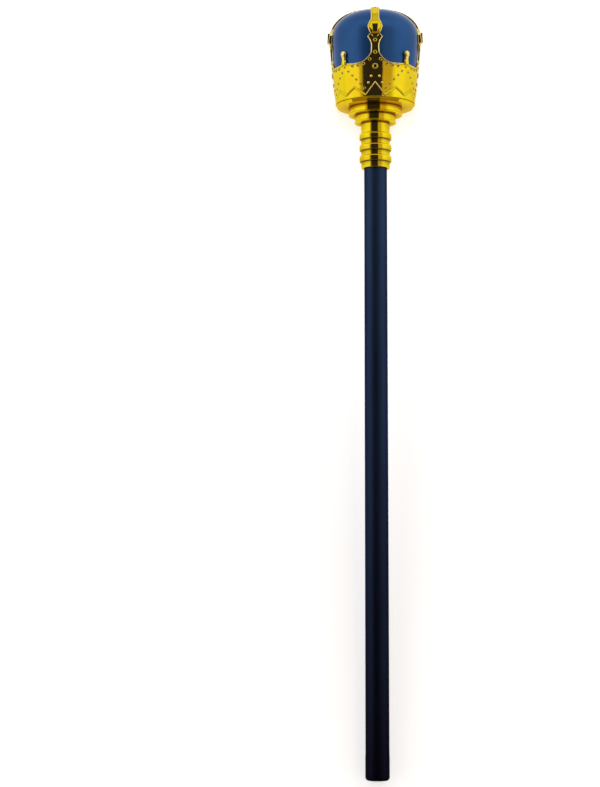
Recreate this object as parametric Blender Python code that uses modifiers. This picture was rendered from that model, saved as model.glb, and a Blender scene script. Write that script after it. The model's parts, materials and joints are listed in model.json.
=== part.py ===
"""A toy sceptre with a crown for its head, moulded in plastic, lying on a flat spot under its back strap.

It is modelled upright, with its axis on +Z from the butt to the head and its front towards -Y. An empty then
lays it down with its front up and its head towards +X, with the origin at the middle of its base.
"""

import math

import bmesh
import bpy
from mathutils import Matrix, Vector

MM = 0.001
SHAPE_NAME = "toy_sceptre"

# The fit between two pieces that touch
GAP = 0.3 * MM

# Shaft, with heights from the butt
SHAFT_REACH = 396.6 * MM
SHAFT_TOP_RADIUS = 7.45 * MM
SHAFT_FOOT_RADIUS = 7.72 * MM
BUTT_RADIUS = 7.85 * MM
BUTT_LENGTH = 18.0 * MM
BUTT_CORNER = 2.2 * MM
SOCKET_DEPTH = 25.0 * MM

# Neck, from its mouth up: a ringed sleeve, two steps and the plate under the crown
NECK_RADIUS = 9.35 * MM
NECK_LENGTH = 29.8 * MM
RING_COUNT = 3
RING_RAISE = 1.15 * MM
RING_HEIGHT = 4.1 * MM
RING_PITCH = 7.35 * MM
LOWEST_RING = 6.2 * MM
LOWER_STEP_RADIUS = 13.3 * MM
LOWER_STEP_HEIGHT = 5.2 * MM
UPPER_STEP_RADIUS = 17.4 * MM
UPPER_STEP_HEIGHT = 5.0 * MM
STEP_LIP = 0.3 * MM
STEP_LIP_HEIGHT = 1.0 * MM
PLATE_THICKNESS = 2.0 * MM
PLATE_BEVEL = 0.9 * MM

# Crown, whose inner face is a cone with a slight belly under a squarish dome
CROWN_RADIUS = 28.8 * MM
CROWN_SWEEP = 3.9 * MM
CROWN_BELLY = 1.3
CROWN_SHOULDER = 42.1 * MM
DOME_HEIGHT = 20.2 * MM
DOME_SQUARENESS = 2.39
WALL = 0.85 * MM
RIM_RAISE = 0.35 * MM
RIM_WIDTH = 0.7 * MM
FOOT_BEAD = 0.75 * MM
RAMP_REACH = 1.7

# The top edge of the band, with heights from the crown's foot
EDGE_LOW = 22.2 * MM
EDGE_LOW_ANGLE = math.radians(27.0)
EDGE_RISE_AT_KNOB = 0.9 * MM
EDGE_FLARE = 2.9

# Strap, with heights from the crown's foot and half widths
STRAP_FOOT = 28.1 * MM
STRAP_FOOT_HALF = 2.85 * MM
WAIST = 32.0 * MM
WAIST_HALF = 2.6 * MM
POINT = 38.3 * MM
POINT_HALF = 5.1 * MM
PINCH = 40.5 * MM
PINCH_HALF = 3.1 * MM
LOBE = 44.9 * MM
LOBE_HALF = 4.75 * MM
STEM = 49.6 * MM
STEM_HALF = 2.7 * MM
LOBE_RAISE = 1.3 * MM
LOBE_CREST = 42.3 * MM
BOSS_RADIUS = 4.2 * MM
BOSS_RAISE = 1.1 * MM
BOSS_TOP_SHARE = 0.6

# The keystone jewel on each strap's lobe
JEWEL_FOOT = 41.6 * MM
JEWEL_HEIGHT = 5.0 * MM
JEWEL_FOOT_HALF = 1.1 * MM
JEWEL_TOP_HALF = 1.9 * MM
JEWEL_RAISE = 1.75 * MM
JEWEL_LEAN = 0.8 * MM
JEWEL_DEPTH = 2.0 * MM

# The zigzag line round the band, with heights from the crown's foot
ZIGZAG_STEP = math.radians(15.0)
ZIGZAG_VALLEY = 2.4 * MM
ZIGZAG_APEX = 6.6 * MM
ZIGZAG_TALL_APEX = 9.4 * MM
ZIGZAG_HALF_WIDTH = 0.55 * MM

# Studs and beads, with heights from the crown's foot
BEAD_RADIUS = 0.8 * MM
BEAD_RAISE = 0.55 * MM
BEAD_TOP_SHARE = 0.3
STUD_RADIUS = 1.3 * MM
STUD_RAISE = 0.5 * MM
STUD_TOP_SHARE = 0.8
STRAP_STUDS = (28.2 * MM, 36.0 * MM)
BIG_STUD_RADIUS = 2.05 * MM
BIG_STUD = 19.3 * MM
EDGE_ROW_START = math.radians(7.2)
EDGE_ROW_PITCH = math.radians(8.3)
EDGE_ROW_COUNT = 4
EDGE_ROW_DROP = 1.9 * MM
VEE_TOP = 20.4 * MM
VEE_FOOT = 5.6 * MM
VEE_FOOT_ANGLE = math.radians(15.0)
VEE_STEPS = 5
PEAK_TOP_ANGLE = math.radians(5.5)
PEAK_TOP = 13.0 * MM
PEAK_FOOT_ANGLE = math.radians(9.4)
PEAK_FOOT = 8.9 * MM

# Knob between two straps: a drop that thins to its foot, and thinner from front to back than it is wide
KNOB_RADIUS = 1.95 * MM
KNOB_HEIGHT = 8.1 * MM
KNOB_FOOT_RADIUS = 1.05 * MM
KNOB_BALL_TURN = math.radians(125.0)
KNOB_SINK = 1.2 * MM
KNOB_THINNING = 0.58

# The flat that the sceptre lies on, under the crest of the back strap's lobe
REST_SINK = 0.5 * MM

# Facets: the columns are shares of a strap's half width, and its raised rim starts at the third
SHAFT_SIDES = 32
NECK_SIDES = 28
CAP_SIDES = 32
RING_FACETS = 4
DOME_FACETS = 8
SKIRT_SHARES = (0.5, 1.0)
BEAD_SIDES = 4
STUD_SIDES = 8
STRAP_COLUMNS = (0.0, 0.55, 0.75, 1.0)
RIM_SHARE = STRAP_COLUMNS[2]
BAND_SPANS = (3, 2, 2)
STRAP_SPANS = (1, 3, 1, 3, 2)
STEM_SPANS = 5
SHARP_ANGLE = math.radians(35.0)
MERGE_DISTANCE = 0.01 * MM

# Finishes
GOLD = (0.90, 0.62, 0.03)
GOLD_ROUGHNESS = 0.15
BLUE = (0.03, 0.09, 0.27)
BLUE_ROUGHNESS = 0.15
NAVY = (0.006, 0.007, 0.014)
NAVY_ROUGHNESS = 0.4

# Heights that follow from the sizes above
NECK_TOP = SHAFT_REACH + NECK_LENGTH
STEPS_MIDDLE = NECK_TOP + LOWER_STEP_HEIGHT
STEPS_TOP = STEPS_MIDDLE + UPPER_STEP_HEIGHT
PLATE_TOP = STEPS_TOP + PLATE_THICKNESS
CROWN_FOOT = PLATE_TOP + GAP
SHOULDER = CROWN_FOOT + CROWN_SHOULDER
CROWN_TOP = SHOULDER + DOME_HEIGHT
THICKEST_WALL = WALL + LOBE_RAISE + RIM_RAISE
QUARTER = math.radians(90.0)
EIGHTH = math.radians(45.0)


def inner_radius(height, inset=0.0):
    """The radius of the crown's inner face at a height, or of the face that lies inset from it."""
    if height <= SHOULDER:
        below = (SHOULDER - height) / CROWN_SHOULDER
        return CROWN_RADIUS - inset - CROWN_SWEEP * below**CROWN_BELLY
    above = min(1.0, (height - SHOULDER) / (DOME_HEIGHT - inset))
    return (CROWN_RADIUS - inset) * (1.0 - above**DOME_SQUARENESS) ** (1.0 / DOME_SQUARENESS)


def on_crown(across, height):
    """A point on the crown at a distance across from a strap's middle plane; the strap at the front is -Y."""
    radius = inner_radius(height)
    return Vector((across, -math.sqrt(max(0.0, radius**2 - across**2)), height))


def at_angle(angle, height):
    """A point on the crown at an angle from the front, positive towards +X."""
    radius = inner_radius(height)
    return Vector((radius * math.sin(angle), -radius * math.cos(angle), height))


def eased(share, start, end, bend):
    return start + (end - start) * share**bend


def strap_half_width(rise):
    """Half of a strap's width at a rise above the crown's foot: waist, point, pinch, lobe and stem."""
    stations = (
        (STRAP_FOOT, STRAP_FOOT_HALF, 1.0),
        (WAIST, WAIST_HALF, 2.2),
        (POINT, POINT_HALF, 1.0),
        (PINCH, PINCH_HALF, 0.6),
        (LOBE, LOBE_HALF, 1.5),
        (STEM, STEM_HALF, 1.0),
    )
    for (low, start, bend), (high, end, _) in zip(stations, stations[1:]):
        if rise <= high:
            return eased(max(0.0, (rise - low) / (high - low)), start, end, bend)
    return STEM_HALF


def lobe_raise(rise):
    """How far the strap's lobe stands out: a long slope up to its crest and a short one below."""
    if rise >= LOBE_CREST:
        share = (STEM - rise) / (STEM - LOBE_CREST)
    else:
        share = (rise - POINT) / (LOBE_CREST - POINT)
    return LOBE_RAISE * min(1.0, max(0.0, share))


def strap_foot_angle():
    return math.asin(STRAP_FOOT_HALF / inner_radius(CROWN_FOOT + STRAP_FOOT))


def edge_rise(angle):
    """The rise of the band's top edge at an angle from a strap's middle, from the strap to the knob."""
    if angle <= EDGE_LOW_ANGLE:
        share = (EDGE_LOW_ANGLE - angle) / (EDGE_LOW_ANGLE - strap_foot_angle())
        return EDGE_LOW + (STRAP_FOOT - EDGE_LOW) * min(1.0, share) ** EDGE_FLARE
    share = (angle - EDGE_LOW_ANGLE) / (EIGHTH - EDGE_LOW_ANGLE)
    return EDGE_LOW + EDGE_RISE_AT_KNOB * share**2


def edge_stretch(angle):
    """How much longer a drop is than its distance square to the band's top edge, where that edge slopes."""
    step = math.radians(0.1)
    slope = (edge_rise(angle + step) - edge_rise(angle)) / (step * inner_radius(CROWN_FOOT + EDGE_LOW))
    return math.sqrt(1.0 + slope**2)


def zigzag_rise(angle):
    """The rise of the zigzag line: a tall apex under each strap, and a low one halfway to the knob."""
    turn = angle / ZIGZAG_STEP
    if turn <= 1.0:
        return eased(turn, ZIGZAG_TALL_APEX, ZIGZAG_VALLEY, 1.0)
    if turn <= 2.0:
        return eased(turn - 1.0, ZIGZAG_VALLEY, ZIGZAG_APEX, 1.0)
    return eased(turn - 2.0, ZIGZAG_APEX, ZIGZAG_VALLEY, 1.0)


def plastic(name, colour, roughness, metallic):
    material = bpy.data.materials.new(name)
    material.use_nodes = True
    material.diffuse_color = (*colour, 1.0)
    shader = material.node_tree.nodes["Principled BSDF"]
    shader.inputs["Base Color"].default_value = (*colour, 1.0)
    shader.inputs["Roughness"].default_value = roughness
    shader.inputs["Metallic"].default_value = metallic
    return material


def new_object(name, collection, parent, material=None):
    piece = bpy.data.objects.new(name, bpy.data.meshes.new(name))
    if material:
        piece.data.materials.append(material)
    collection.objects.link(piece)
    piece.parent = parent
    return piece


def shade(piece):
    piece.data.shade_smooth()
    piece.data.set_sharp_from_angle(angle=SHARP_ANGLE)


def turned(name, collection, parent, material, profile, sides):
    """A solid turned about Z from a profile of (radius, height), from its top on the axis to its foot."""
    piece = new_object(name, collection, parent, material)
    mesh = bmesh.new()
    corners = [mesh.verts.new((radius, 0.0, height)) for radius, height in profile]
    for start, end in zip(corners, corners[1:]):
        mesh.edges.new((start, end))
    mesh.to_mesh(piece.data)
    mesh.free()
    screw = piece.modifiers.new("turn", "SCREW")
    screw.steps = sides
    screw.render_steps = sides
    screw.use_merge_vertices = True
    screw.merge_threshold = MERGE_DISTANCE
    return piece


def shaft_profile():
    top = SHAFT_REACH + SOCKET_DEPTH
    corner_centre = BUTT_RADIUS - BUTT_CORNER
    profile = [(0.0, top), (SHAFT_TOP_RADIUS, top), (SHAFT_TOP_RADIUS, SHAFT_REACH)]
    profile.append((SHAFT_FOOT_RADIUS, BUTT_LENGTH))
    profile.append((BUTT_RADIUS, BUTT_LENGTH - BUTT_CORNER))
    for step in range(RING_FACETS + 1):
        turn = QUARTER * step / RING_FACETS
        radius = corner_centre + BUTT_CORNER * math.cos(turn)
        profile.append((radius, BUTT_CORNER * (1.0 - math.sin(turn))))
    profile.append((0.0, 0.0))
    return profile


def step_profile(radius, top, bottom):
    """A step's wall, with a rounded lip at its lower edge."""
    return [
        (radius, top),
        (radius, bottom + STEP_LIP_HEIGHT),
        (radius + STEP_LIP, bottom + STEP_LIP_HEIGHT / 2),
        (radius, bottom),
    ]


def ring_profile(centre):
    profile = []
    for step in range(RING_FACETS + 1):
        turn = 2 * QUARTER * step / RING_FACETS
        height = centre + RING_HEIGHT / 2 * math.cos(turn)
        profile.append((NECK_RADIUS + RING_RAISE * math.sin(turn), height))
    return profile


def neck_profile():
    plate_radius = inner_radius(CROWN_FOOT) + WALL
    socket_radius = SHAFT_TOP_RADIUS + GAP
    socket_top = SHAFT_REACH + SOCKET_DEPTH + GAP
    profile = [(0.0, PLATE_TOP), (plate_radius, PLATE_TOP), (plate_radius - PLATE_BEVEL, STEPS_TOP)]
    profile += step_profile(UPPER_STEP_RADIUS, STEPS_TOP, STEPS_MIDDLE)
    profile += step_profile(LOWER_STEP_RADIUS, STEPS_MIDDLE, NECK_TOP)
    profile.append((NECK_RADIUS, NECK_TOP))
    for ring in reversed(range(RING_COUNT)):
        profile += ring_profile(SHAFT_REACH + LOWEST_RING + ring * RING_PITCH)
    profile += [(NECK_RADIUS, SHAFT_REACH), (socket_radius, SHAFT_REACH)]
    profile += [(socket_radius, socket_top), (0.0, socket_top)]
    return profile


def cap_profile():
    """The dome and the skirt inside the band, one gap inside the crown all over."""
    profile = []
    for step in range(DOME_FACETS + 1):
        turn = QUARTER * step / DOME_FACETS
        radius = (CROWN_RADIUS - GAP) * math.sin(turn) ** (2.0 / DOME_SQUARENESS)
        rise = (DOME_HEIGHT - GAP) * math.cos(turn) ** (2.0 / DOME_SQUARENESS)
        profile.append((radius, SHOULDER + rise))
    for share in SKIRT_SHARES:
        height = SHOULDER - CROWN_SHOULDER * share
        profile.append((inner_radius(height, GAP), height))
    profile.append((0.0, CROWN_FOOT))
    return profile


def spread(start, end, spans):
    """The ends of equal spans from start to end, without start itself."""
    return [start + (end - start) * (span + 1) / spans for span in range(spans)]


def band_columns():
    """Angles across one eighth of the band, with lines where the strap's rim and the zigzag turn."""
    foot = strap_foot_angle()
    angles = [share * foot for share in STRAP_COLUMNS]
    turns = (foot, ZIGZAG_STEP, 2 * ZIGZAG_STEP, EIGHTH)
    for start, end, spans in zip(turns, turns[1:], BAND_SPANS):
        angles += spread(start, end, spans)
    return angles


def band_rows(angle):
    """Rises up one column of the band, from its foot to its top edge, each with whether it is raised."""
    edge = edge_rise(angle)
    drop = RIM_WIDTH * edge_stretch(angle)
    zigzag = zigzag_rise(angle)
    has_rim = angle >= RIM_SHARE * strap_foot_angle()
    rows = [(0.0, True), (FOOT_BEAD, True), (RAMP_REACH * FOOT_BEAD, False)]
    rows += [(zigzag - ZIGZAG_HALF_WIDTH, False), (zigzag, True), (zigzag + ZIGZAG_HALF_WIDTH, False)]
    rows += [(edge - RAMP_REACH * drop, False), (edge - drop, has_rim), (edge, has_rim)]
    return rows


def strap_heights():
    """Heights up a strap, from its foot to the place on top where the four straps meet."""
    rises = [STRAP_FOOT]
    stations = (STRAP_FOOT, WAIST, POINT, PINCH, LOBE, STEM)
    for start, end, spans in zip(stations, stations[1:], STRAP_SPANS):
        rises += spread(start, end, spans)
    heights = [CROWN_FOOT + rise for rise in rises]
    stem_radius = inner_radius(CROWN_FOOT + STEM)
    meeting_radius = STEM_HALF / math.sin(EIGHTH)
    for turn in spread(0.0, math.acos(meeting_radius / stem_radius), STEM_SPANS):
        share = stem_radius * math.cos(turn) / CROWN_RADIUS
        rise = DOME_HEIGHT * (1.0 - share**DOME_SQUARENESS) ** (1.0 / DOME_SQUARENESS)
        heights.append(SHOULDER + rise)
    return heights + [CROWN_TOP]


def mapped_grid(mesh, across, along, place):
    """A grid of faces; place(column, row) gives a corner's point and the wall over it, kept as a weight."""
    weights = mesh.verts.layers.deform.verify()
    made = bmesh.ops.create_grid(mesh, x_segments=across, y_segments=along, size=1.0)
    for corner in made["verts"]:
        column = round((corner.co.x + 1.0) / 2 * across)
        row = round((corner.co.y + 1.0) / 2 * along)
        corner.co, wall = place(column, row)
        corner[weights][0] = wall / THICKEST_WALL


def crown_sheet(piece):
    """One eighth of the crown's inner face, with the wall over each point kept as a vertex weight."""
    mesh = bmesh.new()
    columns = band_columns()
    rows = [band_rows(angle) for angle in columns]
    heights = strap_heights()

    def band_point(column, row):
        rise, raised = rows[column][row]
        return at_angle(columns[column], CROWN_FOOT + rise), WALL + RIM_RAISE * raised

    def strap_point(column, row):
        height = heights[row]
        share = STRAP_COLUMNS[column]
        half = min(strap_half_width(height - CROWN_FOOT), inner_radius(height) * math.sin(EIGHTH))
        wall = WALL + RIM_RAISE * (share >= RIM_SHARE) + lobe_raise(height - CROWN_FOOT)
        return on_crown(share * half, height), wall

    mapped_grid(mesh, len(columns) - 1, len(rows[0]) - 1, band_point)
    mapped_grid(mesh, len(STRAP_COLUMNS) - 1, len(heights) - 1, strap_point)
    bmesh.ops.remove_doubles(mesh, verts=mesh.verts, dist=MERGE_DISTANCE)
    for face in mesh.faces:
        centre = face.calc_center_median()
        if face.normal.dot(centre - Vector((0.0, 0.0, CROWN_FOOT))) < 0.0:
            face.normal_flip()
    mesh.to_mesh(piece.data)
    mesh.free()
    piece.vertex_groups.new(name="wall")


def outward_frame(angle, height, lift):
    """A place on the crown with its Z axis square to the surface and its Y axis up the surface."""
    step = 0.1 * MM
    upward = (at_angle(angle, height + step) - at_angle(angle, height - step)).normalized()
    sideways = Vector((math.cos(angle), math.sin(angle), 0.0))
    outward = sideways.cross(upward)
    turn = Matrix((sideways, upward, outward)).transposed().to_4x4()
    return Matrix.Translation(at_angle(angle, height) + outward * lift) @ turn


def add_stud(mesh, angle, height, radius, rise, sides, top_share):
    """A round stud, or a bead where its top is small, rooted in the crown's wall."""
    depth = rise + WALL / 2
    place = outward_frame(angle, height, WALL / 2 + depth / 2)
    bmesh.ops.create_cone(
        mesh,
        cap_ends=True,
        segments=sides,
        radius1=radius,
        radius2=radius * top_share,
        depth=depth,
        matrix=place,
    )


def add_jewel(mesh, angle):
    """The keystone on a strap's lobe: a block that is wider at its top and leans back there."""
    height = CROWN_FOOT + JEWEL_FOOT
    face = inner_radius(SHOULDER) + WALL + JEWEL_RAISE
    made = bmesh.ops.create_cube(mesh, size=1.0)
    for corner in made["verts"]:
        top = corner.co.z > 0
        half = JEWEL_TOP_HALF if top else JEWEL_FOOT_HALF
        across = math.copysign(half, corner.co.x)
        out = face - JEWEL_LEAN * top if corner.co.y < 0 else face - JEWEL_DEPTH
        corner.co = Vector((across, -out, height + JEWEL_HEIGHT * top))
    bmesh.ops.rotate(mesh, verts=made["verts"], cent=(0, 0, 0), matrix=Matrix.Rotation(angle, 3, "Z"))


def relief(piece):
    """The studs, beads and jewels that are joined to the crown, as one mesh of closed shapes."""
    mesh = bmesh.new()
    for quarter in range(4):
        front = quarter * QUARTER
        add_jewel(mesh, front)
        add_stud(mesh, front, CROWN_FOOT + BIG_STUD, BIG_STUD_RADIUS, STUD_RAISE, STUD_SIDES, STUD_TOP_SHARE)
        for rise in STRAP_STUDS:
            height = CROWN_FOOT + rise
            add_stud(mesh, front, height, STUD_RADIUS, STUD_RAISE, STUD_SIDES, STUD_TOP_SHARE)
        beads = [(EIGHTH, VEE_TOP)]
        for side in (-1, 1):
            for step in range(1, VEE_STEPS + 1):
                share = step / VEE_STEPS
                angle = eased(share, EIGHTH, VEE_FOOT_ANGLE, 1.0)
                beads.append((side * angle, eased(share, VEE_TOP, VEE_FOOT, 1.0)))
            for step in range(EDGE_ROW_COUNT):
                angle = EDGE_ROW_START + step * EDGE_ROW_PITCH
                rise = edge_rise(angle) - EDGE_ROW_DROP * edge_stretch(angle)
                beads.append((side * angle, rise))
            beads.append((side * PEAK_TOP_ANGLE, PEAK_TOP))
            beads.append((side * PEAK_FOOT_ANGLE, PEAK_FOOT))
        for angle, rise in beads:
            height = CROWN_FOOT + rise
            add_stud(mesh, front + angle, height, BEAD_RADIUS, BEAD_RAISE, BEAD_SIDES, BEAD_TOP_SHARE)
    add_boss(mesh)
    mesh.to_mesh(piece.data)
    mesh.free()


def add_boss(mesh):
    """The low button over the place where the straps meet."""
    depth = BOSS_RAISE + WALL / 2
    bmesh.ops.create_cone(
        mesh,
        cap_ends=True,
        segments=2 * STUD_SIDES,
        radius1=BOSS_RADIUS,
        radius2=BOSS_RADIUS * BOSS_TOP_SHARE,
        depth=depth,
        matrix=Matrix.Translation((0.0, 0.0, CROWN_TOP + WALL / 2 + depth / 2)),
    )


def knob_profile():
    """A ball that thins to its foot, from the top down; it is flattened afterwards."""
    ball = KNOB_HEIGHT - KNOB_RADIUS
    profile = []
    for step in range(RING_FACETS + 1):
        turn = KNOB_BALL_TURN * step / RING_FACETS
        profile.append((KNOB_RADIUS * math.sin(turn), ball + KNOB_RADIUS * math.cos(turn)))
    return profile + [(KNOB_FOOT_RADIUS, 0.0), (KNOB_FOOT_RADIUS, -KNOB_SINK), (0.0, -KNOB_SINK)]


def stand_knob(knob, angle):
    """Stands a knob on the band's top edge, leaning with the crown's wall and clear of the cap."""
    place = outward_frame(angle, CROWN_FOOT + edge_rise(EIGHTH), KNOB_RADIUS * KNOB_THINNING)
    turn_up = Matrix.Rotation(-QUARTER, 4, "X")
    thin = Matrix.Diagonal((1.0, KNOB_THINNING, 1.0, 1.0))
    knob.matrix_local = place @ turn_up @ thin


def join_to(piece, name, operation, other):
    joint = piece.modifiers.new(name, "BOOLEAN")
    joint.operation = operation
    joint.solver = "EXACT"
    if isinstance(other, bpy.types.Collection):
        joint.operand_type = "COLLECTION"
        joint.collection = other
    else:
        joint.object = other


def helper(piece):
    piece.hide_render = True
    piece.display_type = "WIRE"
    return piece


def mirror(piece, name, axes, about=None):
    modifier = piece.modifiers.new(name, "MIRROR")
    modifier.use_axis = axes
    modifier.mirror_object = about
    modifier.merge_threshold = MERGE_DISTANCE


def lie_angle():
    """How far the axis rises from the floor: the floor touches the butt's corner and the head's flat."""
    height = CROWN_FOOT + LOBE_CREST
    along = height - BUTT_CORNER
    out = rest_radius() - (BUTT_RADIUS - BUTT_CORNER)
    return math.atan2(out, along) - math.asin(BUTT_CORNER / math.hypot(along, out))


def rest_radius():
    return inner_radius(SHOULDER) + WALL + JEWEL_RAISE - REST_SINK


def rest_cutter(collection, parent):
    """A block whose upper face is the floor under the lying sceptre."""
    side = 4 * CROWN_RADIUS
    cutter = new_object("rest_cutter", collection, parent)
    mesh = bmesh.new()
    bmesh.ops.create_cube(mesh, size=side)
    bmesh.ops.translate(mesh, verts=mesh.verts, vec=(0.0, side / 2, 0.0))
    mesh.to_mesh(cutter.data)
    mesh.free()
    cutter.location = (0.0, rest_radius(), CROWN_FOOT + LOBE_CREST)
    cutter.rotation_euler = (-lie_angle(), 0.0, 0.0)
    return helper(cutter)


def build_crown(parts, cutters, root):
    gold = plastic("gold_crown", GOLD, GOLD_ROUGHNESS, 1.0)
    crown = new_object("crown", parts, root, gold)
    crown_sheet(crown)
    shade(crown)
    diagonal = bpy.data.objects.new("between_straps", None)
    cutters.objects.link(diagonal)
    diagonal.parent = root
    diagonal.rotation_euler = (0.0, 0.0, EIGHTH)
    mirror(crown, "eighth_to_quarter", (True, False, False), diagonal)
    mirror(crown, "quarter_to_whole", (True, True, False))
    wall = crown.modifiers.new("wall", "SOLIDIFY")
    wall.thickness = THICKEST_WALL
    wall.offset = 1.0
    wall.vertex_group = "wall"
    studs = helper(new_object("studs", cutters, root))
    relief(studs)
    join_to(crown, "studs", "UNION", studs)
    knobs = bpy.data.collections.new("knobs")
    cutters.children.link(knobs)
    for quarter in range(4):
        name = f"knob_{quarter + 1}"
        knob = helper(turned(name, knobs, root, None, knob_profile(), STUD_SIDES))
        stand_knob(knob, EIGHTH + quarter * QUARTER)
    join_to(crown, "knobs", "UNION", knobs)
    join_to(crown, "rest_flat", "DIFFERENCE", rest_cutter(cutters, root))


def build_cap(parts, root):
    blue = plastic("blue_cap", BLUE, BLUE_ROUGHNESS, 0.0)
    cap = turned("cap", parts, root, blue, cap_profile(), CAP_SIDES)
    shade(cap)


def build_neck(parts, root):
    gold = plastic("gold_neck", GOLD, GOLD_ROUGHNESS, 1.0)
    neck = turned("neck", parts, root, gold, neck_profile(), NECK_SIDES)
    shade(neck)


def build_shaft(parts, root):
    navy = plastic("navy_shaft", NAVY, NAVY_ROUGHNESS, 0.0)
    shaft = turned("shaft", parts, root, navy, shaft_profile(), SHAFT_SIDES)
    shade(shaft)


def lay_down(root):
    """Lays the upright model on its back strap and butt, with its front up and its head towards +X."""
    rise = lie_angle()
    sideways = Vector((0.0, -1.0, 0.0))
    backward = Vector((math.sin(rise), 0.0, -math.cos(rise)))
    upward = Vector((math.cos(rise), 0.0, math.sin(rise)))
    root.rotation_euler = Matrix((sideways, backward, upward)).transposed().to_euler()


def centre_on_floor(root, parts):
    """Moves the lying model so that the origin is at the middle of its bounding box's base."""
    bpy.context.view_layer.update()
    graph = bpy.context.evaluated_depsgraph_get()
    corners = []
    for piece in parts.objects:
        shape = piece.evaluated_get(graph)
        for corner in shape.data.vertices:
            corners.append(shape.matrix_world @ corner.co)
    low = Vector([min(corner[axis] for corner in corners) for axis in range(3)])
    high = Vector([max(corner[axis] for corner in corners) for axis in range(3)])
    root.location = (-(low.x + high.x) / 2, -(low.y + high.y) / 2, -low.z)


def main():
    for piece in list(bpy.data.objects):
        bpy.data.objects.remove(piece, do_unlink=True)
    parts = bpy.data.collections.new(SHAPE_NAME)
    cutters = bpy.data.collections.new("cutters")
    for collection in (parts, cutters):
        bpy.context.scene.collection.children.link(collection)
    cutters.hide_render = True
    root = bpy.data.objects.new("sceptre_axis", None)
    bpy.context.scene.collection.objects.link(root)
    build_shaft(parts, root)
    build_neck(parts, root)
    build_cap(parts, root)
    build_crown(parts, cutters, root)
    lay_down(root)
    centre_on_floor(root, parts)


main()
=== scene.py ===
"""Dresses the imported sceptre: a navy tube, a ringed gold neck, an openwork gold crown and a blue cap.

Each piece is modelled upright, with its axis on Z from the butt and its front towards -Y, and is then laid
down on the frame with one matrix. The operators are listed in the 3D view's sidebar and are run in order by
main().
"""

import json
import math

import bpy
from bpy.props import FloatProperty, FloatVectorProperty, IntProperty, PointerProperty
from mathutils import Matrix, Vector, kdtree


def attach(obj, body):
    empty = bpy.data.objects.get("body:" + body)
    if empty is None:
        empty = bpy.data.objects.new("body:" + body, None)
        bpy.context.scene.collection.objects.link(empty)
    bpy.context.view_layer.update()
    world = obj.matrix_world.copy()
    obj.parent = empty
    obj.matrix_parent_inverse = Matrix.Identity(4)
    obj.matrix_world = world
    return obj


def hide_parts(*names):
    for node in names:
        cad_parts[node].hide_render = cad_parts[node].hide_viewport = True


bl_info = {
    "name": "Crown Sceptre",
    "version": (1, 0, 0),
    "blender": (4, 5, 0),
    "location": "View3D > Sidebar > Sceptre",
    "description": "Models the finished pieces of a crown-headed sceptre on its packed frame",
    "category": "Object",
}

MM = 0.001
QUARTER = math.radians(90.0)
EIGHTH = math.radians(45.0)

# Edges that turn more than this stay crisp
SHARP_ANGLE = math.radians(38.0)
CAP_SHARP_ANGLE = math.radians(60.0)

# Corners that lie nearer than this are made one
MERGE_DISTANCE = 0.02 * MM

# Sides of the turned pieces, and the ring inside a flat end as a share of the end's radius
TURNED_SIDES = 128
CAP_SIDES = 160
KNOB_SIDES = 24
BUTTON_SIDES = 40
END_RING = 0.5

# How much of the butt's length has its full radius
BUTT_FULL = 0.8

# Grid lines beside an edge, as shares of a little more than the rim's width, and across the zigzag line
RIM_LINES = (0.0, 0.02, 0.07, 0.15, 0.25, 0.37, 0.5, 0.65, 0.82, 1.0)
RIM_REACH = 1.15
CROSS_LINES = (-1.7, -1.35, -1.0, -0.75, -0.5, -0.25, 0.0, 0.25, 0.5, 0.75, 1.0, 1.35, 1.7)
CROSS_REACH = 1.25

# The most of half a strap that the rim's lines take up, and the other grid lines' numbers and distances
RIM_MOST = 0.6
PLAIN_COLUMNS = 5
ROWS_BELOW_LINE = 4
ROWS_ABOVE_LINE = 12
BAND_STEP = math.radians(1.1)
STRAP_STEP = 0.4 * MM

# Where a rim is highest, as a share of its width, and how high it is at the very edge, as a share
RIM_CREST = 0.42
RIM_AT_EDGE = 0.55

# Width of the foot bead as a share of the rim's
FOOT_BEAD = 0.6

# Distance square to the zigzag line as a share of the distance straight up to it
LINE_SLANT = 0.85

# Exponent of the lobe's rounding from side to side
LOBE_BEND = 4

# Where the painted shade beside a line or rim is darkest, as a share of the rim's width or of the line's
# half width, and half the width of that painted shade stripe, as a share of the line's half width
SHADE_ASIDE = 1.2
SHADE_WIDTH = 0.7

# Share of the lobe's raise from which its painted shade is full
LOBE_SHADE_FROM = 0.5

# How fast the colour turns from painted shade at the foot of a bead or ring to a paler top, partly rubbed
# wear and partly a painted highlight
BEAD_FADE = 2.5
RING_FADE = 1.4

# An eyelet's floor over the wall, a disc painted dark as shade, the rounding of the keystone's edges, and a
# stem stud's height as a share of its radius
EYELET_FLOOR = 0.04 * MM
JEWEL_ROUND = 0.22 * MM
STEM_STUD_HEIGHT = 0.8

# The knob's neck as a share of the height of its ball's middle, and the ball's arc in degrees, counted from
# straight out
KNOB_NECK_REACH = 0.4
KNOB_BALL_FROM = -42.0
KNOB_BALL_TO = 88.0

# The flat of the button as a share of its radius, and how much wider than high its round edge is
BUTTON_FLAT = 0.72
BUTTON_WIDENING = 1.05

# Distances in millimetres of the stations beside a corner of the neck and under a ring
CORNER_BELOW = (1.2, 0.8, 0.4)
CORNER_BESIDE = (0.2, 0.5, 0.8, 1.2)
RING_BELOW = (0.9, 0.6, 0.3)
CORNER_OUT = 0.02 * MM
CORNER_DROP = 0.05 * MM

# A ring's underside, its lower lip, the turn of its shoulder in degrees and the fine line over it
UNDERSIDE_START = 0.05 * MM
UNDERSIDE_END = 0.45 * MM
UNDERSIDE_RISE = 0.1 * MM
RING_LIP = 0.3 * MM
SHOULDER_TURN = 56.25
LINE_LIP = 0.12 * MM
LINE_DEPTH = 0.1 * MM
LINE_MIDDLE = 0.15 * MM
LINE_TOP = 0.4 * MM

# From a step's lip to the straight wall over it
LIP_FADE = 0.1 * MM

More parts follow.
